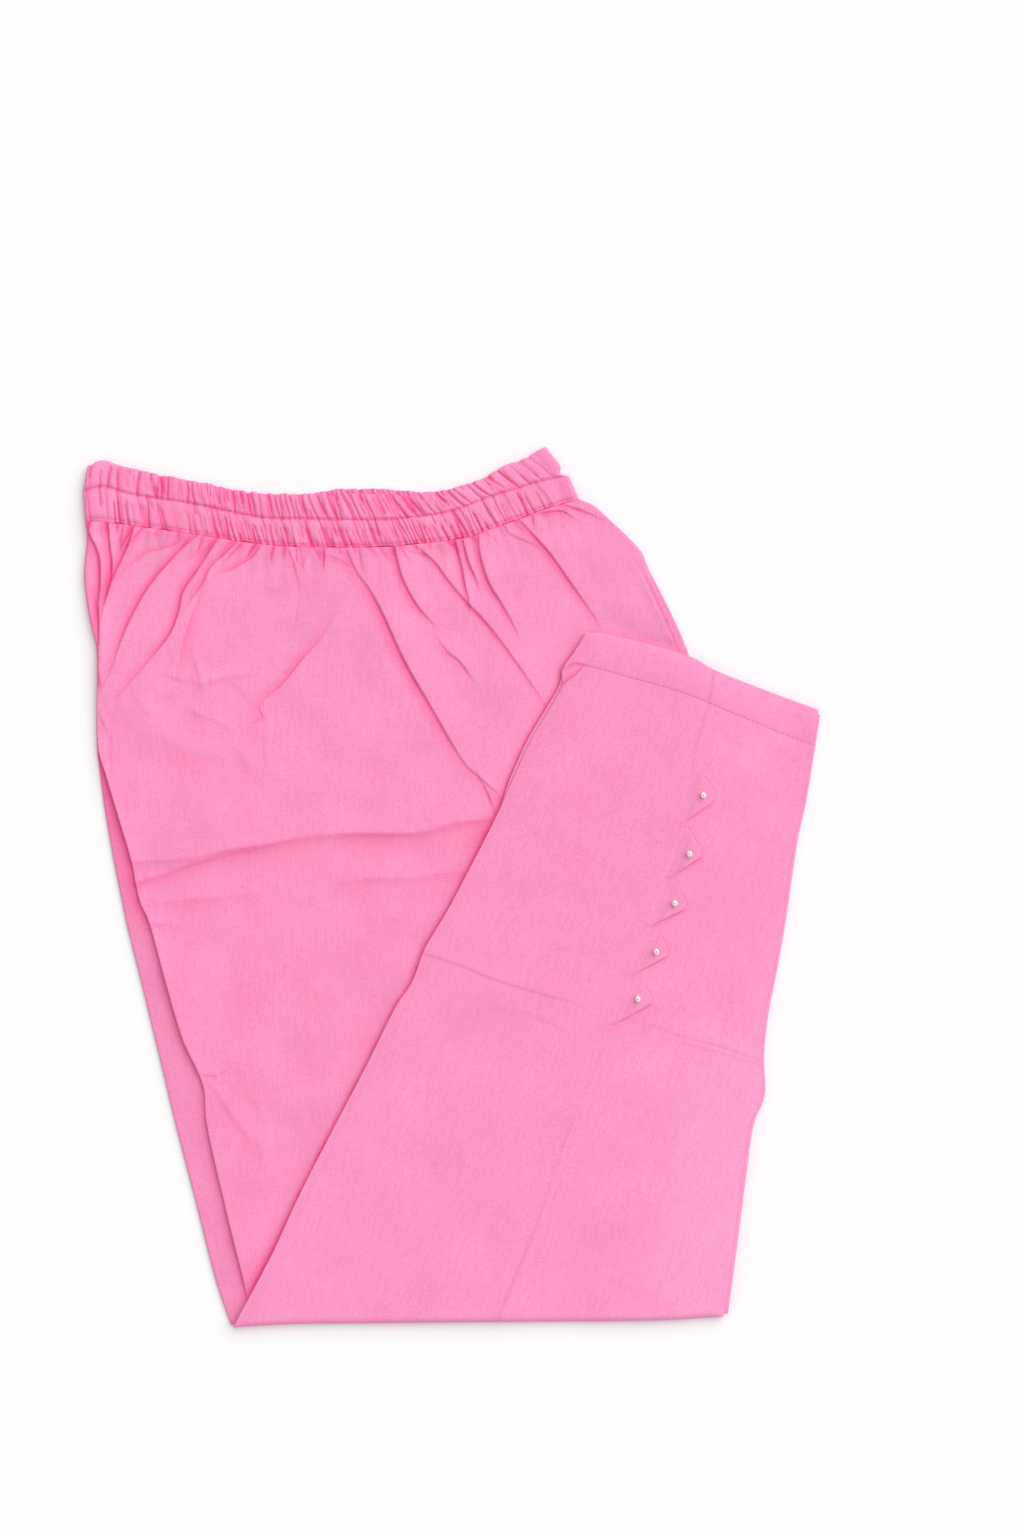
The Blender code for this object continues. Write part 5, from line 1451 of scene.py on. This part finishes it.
# Its edges, from the upper one down and round to the lower one: the row each starts from, how far out it
# is, and its share of the band's thickness there
BAND_EDGES = [
    (-1, 0.35, 0.6), (-1, 0.3, 0.25), (-1, -0.2, 0.0), (0, 0.2, 0.0), (0, -0.3, 0.25), (0, -0.3, 0.6),
]

# Stitch rows of its front half, as shares of its width, with the depth of their grooves; how wide a groove
# is, as such a share, and how much shade is painted in it
LOWER_ROW = 0.055
CENTRE_ROW = 0.5
BAND_STITCHES = ((LOWER_ROW, 0.2), (CENTRE_ROW, 0.4))
ROW_WIDTH = 0.022
ROW_SHADE = 0.7

# The thickness of its front half, what a channel adds and how deep the swells are, the thickness of its
# back half, and the least that a notch leaves of it and of the whole band; and how far its ends are rounded
BAND_THICK = 2.3
CHANNEL_PUFF = 1.6
SWELL_DEPTH = 0.8
BACK_THICK = 2.25
BACK_LEAST = 0.35
BAND_LEAST = 0.25
END_ROUND = 3.0

# How a notch winds, fades outside and inside its ends, how much of it is a sharp pinch, how much shade is
# painted in it, its least length as a share of the width, how much its lean varies, and how often one comes
# in a smooth stretch; and the widths and the gaps of the shallow swells
NOTCH_SWAY = 0.3
NOTCH_OUT = 0.07
NOTCH_IN = 0.02
NOTCH_SHARP = 0.6
NOTCH_SHADE = 0.5
NOTCH_SHORTEST = 0.15
NOTCH_TURN = 2.5
SMOOTH_ODDS = 0.3
SWELL_WIDTHS = (1.8, 3.2)
SWELL_GAPS = (6.0, 15.0)

# Notches: the shares of the width that they run from and to, the least and greatest depth, and the share
# of them that stop part of the way
FRONT_NOTCHES = [
    (-0.05, 0.49, (0.6, 1.6), 0.55), (0.51, 1.05, (0.6, 1.6), 0.5), (-0.05, 0.3, (0.4, 1.1), 0.0),
    (0.62, 1.05, (0.3, 1.0), 0.3),
]
BACK_NOTCHES = (0.6, 1.05, (0.6, 1.6), 0.2)


class Band:
    """A gathered band as a grid: stations along it, and rows from its lower to its upper edge."""

    def __init__(self, stations, rows, level, seed):
        self.low, self.mid, self.high = (waist_line(column, 0.5) for column in ("bottom", "centre", "top"))
        self.length = walked(self.mid)[-1]
        self.place = np.linspace(0.0, 1.0, stations)
        self.across = np.linspace(0.0, 1.0, rows)
        self.level = level
        self.rng = np.random.default_rng(seed)
        self.height = np.zeros((stations, rows))
        # The shade painted at each point of the grid
        self.painted_shade = np.zeros((stations, rows))

    def grid(self, rise=0.0, drop=0.0):
        """The points (x, y) of the grid, its edges moved out by `rise` and `drop` for each station."""
        low, mid, high = (points_at(line, self.place * walked(line)[-1]) for line in (
            self.low, self.mid, self.high))
        outward = (high - low) / np.linalg.norm(high - low, axis=1)[:, None]
        high = high + outward * np.reshape(rise, (-1, 1))
        low = low - outward * np.reshape(drop, (-1, 1))
        share = self.across[None, :, None]
        lower = low[:, None] + (mid - low)[:, None] * share / 0.5
        upper = mid[:, None] + (high - mid)[:, None] * (share - 0.5) / 0.5
        flat = np.where(share < 0.5, lower, upper) + outward[:, None] * SEAM_GAP / 2
        ahead = turned_right(outward)
        dip = END_DIP * hump(self.across - END_DIP_SHARE, END_DIP_REACH)
        return flat - ahead[:, None] * (self.near_end()[:, None] * dip[None, :])[..., None], outward

    def near_end(self):
        """From 0 to 1 over the last part of the band, for each station."""
        return ease(self.place * self.length, self.length - END_DIP_LENGTH, self.length)

    def notch(self, spot, depth, width, lean, start, end):
        """One pinched valley across part of the band, with shade painted along it."""
        along = self.place * self.length
        near = np.flatnonzero(np.abs(along - spot) < 8 * width + abs(lean))
        share = self.across[None, :]
        sway = lean * (share - 0.5 * (start + end)) + NOTCH_SWAY * np.sin(9 * share + spot)
        gap = np.abs(along[near, None] - spot - sway)
        fade = between(share, (start - NOTCH_OUT, start + NOTCH_IN), (end - NOTCH_IN, end + NOTCH_OUT))
        pinch = NOTCH_SHARP * fading(gap, width) + (1 - NOTCH_SHARP) * hump(gap, 3.0 * width)
        self.height[near] -= depth * pinch * fade
        self.painted_shade[near] += NOTCH_SHADE * depth * fading(gap, 1.1 * width) * fade

    def notches(self, start, end, depths, share_partial):
        """Uneven notches all along one channel, some of which don't cross all of it."""
        rng = self.rng
        spot = rng.uniform(2.0, 4.0)
        while spot < self.length - 3.0:
            low, high = start, end
            if rng.random() < share_partial:
                middle = rng.uniform(start, end)
                if rng.random() < 0.5:
                    low = min(middle, end - NOTCH_SHORTEST)
                else:
                    high = max(middle, start + NOTCH_SHORTEST)
            place = spot / self.length
            lean = np.interp(place, *zip(*NOTCH_LEAN)) + rng.uniform(-NOTCH_TURN, NOTCH_TURN)
            width = rng.choice(NOTCH_WIDTHS, p=NOTCH_ODDS) * rng.uniform(0.85, 1.2)
            smooth = any(first < place < last for first, last in SMOOTH_PLACES)
            if not smooth or rng.random() < SMOOTH_ODDS:
                self.notch(spot, rng.uniform(*depths), width, lean, low, high)
            spot += np.interp(place, *zip(*NOTCH_SPACING)) * rng.uniform(0.35, 1.45)

    def swells(self, depth):
        """Broad shallow hollows all along the band."""
        spot = 3.0
        while spot < self.length - 3.0:
            size = self.rng.uniform(0.3, 1.0) * depth
            width, lean = self.rng.uniform(*SWELL_WIDTHS), self.rng.uniform(-3, 3)
            self.notch(spot, size, width, lean, -0.1, 1.1)
            spot += self.rng.uniform(*SWELL_GAPS)

    def mesh(self, name, rise, finish, drop=0.0):
        """The closed band: its relief, both edges, both ends and a flat under side."""
        flat, outward = self.grid(rise, drop)
        stations = len(self.place)
        ends = np.minimum(self.place, 1 - self.place) * self.length
        closing = np.sqrt(1 - (1 - np.clip(ends / END_ROUND, 0.0, 1.0)) ** 2)
        height = np.maximum(self.height, BAND_LEAST) * (0.12 + 0.88 * closing[:, None])
        body = np.dstack([flat, self.level + height])
        painted_shade = self.painted_shade * closing[:, None]
        edges = []
        ahead = turned_right(outward)
        held_back = 1.3 * END_DIP * self.near_end()
        for row, out, share in BAND_EDGES:
            spot = flat[:, row] + outward * out
            if share == 0.0:
                spot = spot - ahead * held_back[:, None]
            edges.append(np.dstack([spot[:, None], (self.level + share * height[:, row])[:, None, None]]))
            painted_shade = np.column_stack([painted_shade, painted_shade[:, row]])
        body = np.concatenate([body, *edges], axis=1)
        count = body.shape[1]
        index = np.arange(stations * count).reshape(stations, count)
        near, far = index[:-1], index[1:]
        quads = np.stack([np.roll(near, -1, axis=1), near, far, np.roll(far, -1, axis=1)], axis=-1)
        faces = quads.reshape(-1, 4).tolist()
        faces.append(index[0].tolist())
        faces.append(index[-1][::-1].tolist())
        return add_object(name, body.reshape(-1, 3), faces, finish, painted_shade.ravel())

    def surface(self, share):
        """The line (x, y, z) along the band's upper face at a share of its width."""
        flat, _ = self.grid()
        row = round(share * (len(self.across) - 1))
        return np.column_stack([flat[:, row], self.level + self.height[:, row]])


def smooth_random(rng, count, knots, low, high):
    """A slowly changing random value for each of `count` places."""
    values = rng.uniform(low, high, knots)
    return np.interp(np.linspace(0, knots - 1, count), np.arange(knots), values)


def build_waistband(finish):
    """The front half of the waistband: two gathered channels on either side of the stitch row."""
    band = Band(stations=1000, rows=57, level=FRONT_LEVEL, seed=5)
    share = band.across[None, :]
    channel = np.where(share < 0.5, share / 0.5, (share - 0.5) / 0.5)
    puff = 1 - np.abs(2 * channel - 1) ** 4.0
    swell = smooth_random(band.rng, len(band.place), 60, 0.7, 1.2)[:, None]
    band.height[:] = BAND_THICK + CHANNEL_PUFF * puff * swell
    for row, depth in BAND_STITCHES:
        line = hump(share - row, ROW_WIDTH)
        band.height -= depth * line
        # Shade painted in the stitch row's groove
        band.painted_shade += ROW_SHADE * depth * line
    band.swells(SWELL_DEPTH)
    for notches in FRONT_NOTCHES:
        band.notches(*notches)
    band.height = 0.5 + np.logaddexp(0.0, 4.0 * (band.height - 0.5)) / 4.0
    rise = 0.45 * (band.height[:, -3] - band.height[:, -3].mean())
    rise = rise + smooth_random(band.rng, len(band.place), 90, -0.6, 0.6)
    drop = 0.4 * (band.height[:, 1] - band.height[:, 1].mean())
    drop = drop + smooth_random(band.rng, len(band.place), 80, -0.5, 0.7)
    return band.mesh("waistband", rise, finish, drop), band


def build_waistband_back(finish):
    """The back half of the band, under the front half and a little above it in places."""
    band = Band(stations=700, rows=25, level=0.0, seed=9)
    shows = np.array([row.back_shows for row in WAIST])
    rise = np.interp(band.place * (len(shows) - 1), np.arange(len(shows)), shows)
    band.height[:] = BACK_THICK
    band.notches(*BACK_NOTCHES)
    band.height = np.maximum(band.height, BACK_LEAST)
    rise = rise + 0.6 * (band.height[:, -2] - band.height[:, -2].mean())
    return band.mesh("waistband_back", rise, finish)


# Stitches, tabs and pearls

# One stitch: places along it as shares of its length, with its width there
STITCH_PROFILE = [(-0.5, 0.25), (-0.34, 0.95), (0.34, 0.95), (0.5, 0.25)]
STITCH_SIDES = 6

# Stitches of the band and of the hem: how far apart they start, their length and their width
BAND_STITCH_SIZE = (3.1, 2.3, 0.5)
HEM_STITCH_SIZE = (3.0, 2.2, 0.45)

# A tab: how thick it is at its base, how much thicker further out and from where on; the height of its
# folded lower edge, how far in its middle is and how far it reaches; its hollow, and where that begins and
# is complete; how far from its base it is held down, how high it lies on the leg there, and how far it
# reaches into what is under it
TAB_THIN = 0.35
TAB_THICKER = 0.85
TAB_THICK_AT = 9.0
TAB_FOLD = 0.3
TAB_FOLD_AT = 1.2
TAB_FOLD_REACH = 1.3
TAB_HOLLOW = 0.1
TAB_HOLLOW_FROM = (3.0, 9.0)
TAB_HELD = 7.0
TAB_OVER = 0.1
TAB_UNDER = 0.2

# A pearl: its hole's radius, how much taller than its solid it is, how narrow and long it is against a
# round one, and its rows and turns of faces; and the radius of the knot in its hole
PEARL_HOLE = 0.42
PEARL_TALLER = 0.15
PEARL_ACROSS = 0.94
PEARL_ALONG = 1.12
PEARL_ROWS = 18
PEARL_TURNS = 28
KNOT_RADIUS = 0.36


def tube_faces(first, sides, rings, turned=1):
    """The faces round a tube of rings of points and over both its ends."""
    last = first + (rings - 1) * sides
    faces = []
    for start in range(first, last, sides):
        for i in range(sides):
            j = (i + 1) % sides
            faces.append([start + i, start + j, start + sides + j, start + sides + i][::turned])
    faces.append([first + i for i in range(sides)][::-turned])
    faces.append([last + i for i in range(sides)][::turned])
    return faces


def stitch_row(name, line, pitch, length, width, finish, seed):
    """A row of stitches on a line (x, y, z), as one mesh of small rounded dashes."""
    rng = np.random.default_rng(seed)
    total = walked(line)[-1]
    turn = np.arange(STITCH_SIDES) * 2 * math.pi / STITCH_SIDES
    points, faces = [], []
    place = pitch
    while place < total - pitch:
        long = length * rng.uniform(0.85, 1.15)
        start, end = points_at(line, [place - 0.5 * long, place + 0.5 * long])
        middle = points_at(line, [place])[0]
        ahead = (end - start) / max(np.linalg.norm(end - start), 1e-6)
        beside = np.cross([0.0, 0.0, 1.0], ahead)
        beside /= np.linalg.norm(beside)
        up = np.cross(ahead, beside)
        faces += tube_faces(len(points), STITCH_SIDES, len(STITCH_PROFILE))
        for along, wide in STITCH_PROFILE:
            centre = middle + ahead * along * long
            for angle in turn:
                out = beside * math.cos(angle) + up * 0.7 * math.sin(angle)
                points.append(centre + 0.5 * width * wide * out)
        place += pitch * rng.uniform(0.9, 1.1)
    return add_object(name, points, faces, finish)


def build_band_row(name, band, share, finish, seed):
    """The stitch row at a share of the band's width."""
    line = band.surface(share) + np.array([0.0, 0.0, 0.12])
    return stitch_row(name, line, *BAND_STITCH_SIZE, finish, seed)


def build_hem_stitches(finish):
    """The stitch row that holds the turned hem."""
    line = evenly(STITCH_LINE, 0.5)[8:-6]
    line = with_height(line, leg_top(line) + 0.08)
    return stitch_row("hem_stitches", line, *HEM_STITCH_SIZE, finish, 31)


def build_tab(number, tab, finish):
    """A folded triangle of cloth: thin where it leaves the seam, thick at its folded lower edge."""
    node = f"tab_{number}"
    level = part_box(node)[0][2] / MM
    corners = tab_corners(tab)
    sides = []
    for a, b in zip(corners, np.roll(corners, -1, axis=0)):
        count = max(2, round(np.linalg.norm(b - a) / 0.8))
        sides.append(a + (b - a) * np.linspace(0, 1, count, endpoint=False)[:, None])
    outline = np.vstack(sides)
    for _ in range(2):
        outline = 0.5 * outline + 0.25 * (np.roll(outline, 1, axis=0) + np.roll(outline, -1, axis=0))

    def top(points):
        from_base = np.abs(gap_from(corners[:2], points))
        from_lower = np.abs(gap_from(corners[1:3], points))
        thick = TAB_THIN + TAB_THICKER * ease(from_base, 0.0, TAB_THICK_AT)
        folded = TAB_FOLD * hump(from_lower - TAB_FOLD_AT, TAB_FOLD_REACH)
        free = level + thick + folded - TAB_HOLLOW * ease(from_lower, *TAB_HOLLOW_FROM)
        held = 1 - ease(from_base, 0.0, TAB_HELD)
        return free + held * (leg_top(points) + TAB_OVER - free)

    def under(points):
        return np.minimum(level - TAB_UNDER, leg_top(points) - TAB_UNDER)

    piece = cloth_piece(node + "_cloth", outline, THIN_RIM, [], lattice(outline, 1.0), top, under, finish,
                        under_step=2.0, margin=0.5)
    return piece, node


def tab_corners(tab):
    """A tab's corners, from the top of its base round its lower edge."""
    return np.array([tab.base_top, tab.base_bottom, tab.tip, tab.shoulder])


def tab_size(tab):
    """The length of a tab's base and the area that it shows, in metres."""
    corners = tab_corners(tab) * MM
    ahead = np.roll(corners, -1, axis=0)
    area = 0.5 * abs((corners[:, 0] * ahead[:, 1] - corners[:, 1] * ahead[:, 0]).sum())
    return float(np.linalg.norm(corners[1] - corners[0])), float(area)


def build_pearl(number, finish):
    """A pearl bead with its hole upright, turned about that hole."""
    node = f"pearl_{number}"
    low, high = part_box(node)
    centre = [0.5 * (a + b) / MM for a, b in zip(low, high)]
    radius = 0.5 * (high[0] - low[0]) / MM
    half = 0.5 * (high[2] - low[2]) / MM + PEARL_TALLER
    start = math.asin(PEARL_HOLE / radius)
    rim = half * math.cos(start)
    profile = [(PEARL_HOLE, rim - 1.0), (PEARL_HOLE * 0.92, rim - 0.25)]
    profile += [(radius * math.sin(a), half * math.cos(a))
                for a in np.linspace(start, math.pi - start, PEARL_ROWS)]
    profile += [(PEARL_HOLE * 0.92, 0.25 - rim), (PEARL_HOLE, 1.0 - rim)]
    points, faces = [], []
    count = len(profile)
    for s in range(PEARL_TURNS):
        turn = 2 * math.pi * s / PEARL_TURNS
        for r, z in profile:
            points.append((centre[0] + PEARL_ACROSS * r * math.cos(turn),
                           centre[1] + PEARL_ALONG * r * math.sin(turn), centre[2] + z))
        near, far = s * count, (s + 1) % PEARL_TURNS * count
        for k in range(count):
            j = (k + 1) % count
            faces.append([near + k, near + j, far + j, far + k])
    return add_object(node + "_bead", points, faces, finish), node, centre, half


def build_knot(number, centre, half, finish):
    """The thread that holds a pearl: a small stitch down in its hole and a knot under it."""
    points = []
    sides, rows = 10, 6
    for k in range(rows):
        angle = math.pi * k / (rows - 1)
        radius = KNOT_RADIUS * math.sin(angle) + 0.02
        z = centre[2] - 0.15 * half + 0.45 * half * math.cos(angle)
        for i in range(sides):
            turn = 2 * math.pi * i / sides
            points.append((centre[0] + radius * math.cos(turn), centre[1] + radius * math.sin(turn), z))
    return add_object(f"pearl_{number}_thread", points, tube_faces(0, sides, rows, -1), finish)


# Camera, light and floor

# The photo's frame on the surface: its height and its middle
VIEW_HEIGHT = 998.4
VIEW_CENTRE = (39.0, 77.7)
VIEW_LEVEL = 4.0
LENS = 85.0
SENSOR = 36.0


def add_camera():
    """A camera straight above, as in the photo."""
    camera = bpy.data.cameras.new("camera")
    camera.lens = LENS
    camera.sensor_width = SENSOR
    camera.clip_start = 0.05
    camera.clip_end = 20.0
    made = linked("camera", camera)
    distance = VIEW_HEIGHT * LENS / SENSOR
    made.location = (VIEW_CENTRE[0] * MM, VIEW_CENTRE[1] * MM, (VIEW_LEVEL + distance) * MM)
    bpy.context.scene.camera = made


# The main light: its direction from the pants, its strength and its apparent width
LIGHT_BEARING = math.radians(42)
LIGHT_HEIGHT = math.radians(46)
LIGHT_STRENGTH = 2.32
LIGHT_WIDTH = math.radians(70)
SKY_STRENGTH = 0.54

# The floor reaches this far from the middle, and lies a little below the pants
FLOOR_REACH = 3000.0
FLOOR_LEVEL = -0.1

# Light goes on from fold to fold this many times, so that deep creases stay pink
BOUNCES = 12


def add_light():
    """Plain soft studio light: a pale surround and one broad light from the upper right."""
    world = bpy.data.worlds.new("surround")
    world.use_nodes = True
    background = world.node_tree.nodes["Background"]
    background.inputs["Color"].default_value = (1.0, 1.0, 1.0, 1.0)
    background.inputs["Strength"].default_value = SKY_STRENGTH
    bpy.context.scene.world = world
    key = bpy.data.lights.new("key", "SUN")
    key.energy = LIGHT_STRENGTH
    key.angle = LIGHT_WIDTH
    made = linked("key", key)
    towards = Vector((
        math.cos(LIGHT_HEIGHT) * math.cos(LIGHT_BEARING),
        math.cos(LIGHT_HEIGHT) * math.sin(LIGHT_BEARING),
        math.sin(LIGHT_HEIGHT),
    ))
    made.rotation_euler = towards.to_track_quat("Z", "Y").to_euler()
    made.location = towards * 2.0


def add_floor():
    """A plain pale surface under the pants."""
    nodes = Nodes("floor")
    cloud = nodes.noise(0.0, FLOOR_CLOUDS, detail=2.0)
    pale = nodes.ramp(cloud, (0.0, 1.0), FLOOR, FLOOR_SHARES)
    finish = nodes.finish(pale, {"Roughness": 0.95, "Specular IOR Level": 0.1})
    corners = [(x * FLOOR_REACH, y * FLOOR_REACH, FLOOR_LEVEL)
               for x, y in ((-1, -1), (1, -1), (1, 1), (-1, 1))]
    add_object("floor", corners, [[0, 1, 2, 3]], finish)


def declare(piece, slot, *nodes):
    """The piece rides on the one body and stands for its nodes, which are hidden; `slot` is not used."""
    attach(piece, "root")
    if nodes:
        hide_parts(*nodes)
    return piece


def main():
    body_cotton = cotton("cotton_body", PINK, 0.0)
    leg_cotton = cotton("cotton_leg", PINK, math.radians(18.7))
    inside_cotton = cotton("cotton_inside", PINK_INSIDE, math.radians(-14.0))
    band_cotton = cotton("cotton_band", PINK, math.radians(3.0))
    stitching = thread("stitching", THREAD_PINK)
    gloss = pearl("pearl_gloss", PEARL)

    back = declare(build_body_back(inside_cotton), "cotton", "back_panels")
    front = declare(build_body_front(body_cotton), "cotton", "front_left", "front_right")
    layers = declare(build_leg_layers(leg_cotton), "cotton", "lower_leg_under")
    leg = declare(build_leg(leg_cotton), "cotton", "lower_leg_left", "lower_leg_right")
    band_back = declare(build_waistband_back(inside_cotton), "cotton", "waistband_back")
    band_piece, band = build_waistband(band_cotton)
    declare(band_piece, "cotton", "waistband_front")

    centre_row = declare(build_band_row("band_centre_stitches", band, CENTRE_ROW, stitching, 32), "cotton")
    lower_row = declare(build_band_row("band_lower_stitches", band, LOWER_ROW, stitching, 33), "cotton")
    hem_row = declare(build_hem_stitches(stitching), "cotton")

    tabs = []
    for number, tab in enumerate(TABS, start=1):
        piece, node = build_tab(number, tab, leg_cotton)
        tabs.append(declare(piece, "cotton", node))
        bead, node, centre, half = build_pearl(number, gloss)
        declare(bead, "pearl", node)
        declare(build_knot(number, centre, half, stitching), "cotton")

    for piece, tab in zip(tabs, TABS):
        base, area = tab_size(tab)

    add_camera()
    add_light()
    add_floor()
    scene = bpy.context.scene
    scene.view_settings.view_transform = "Standard"
    scene.cycles.diffuse_bounces = BOUNCES
    scene.cycles.max_bounces = BOUNCES + 4


main()
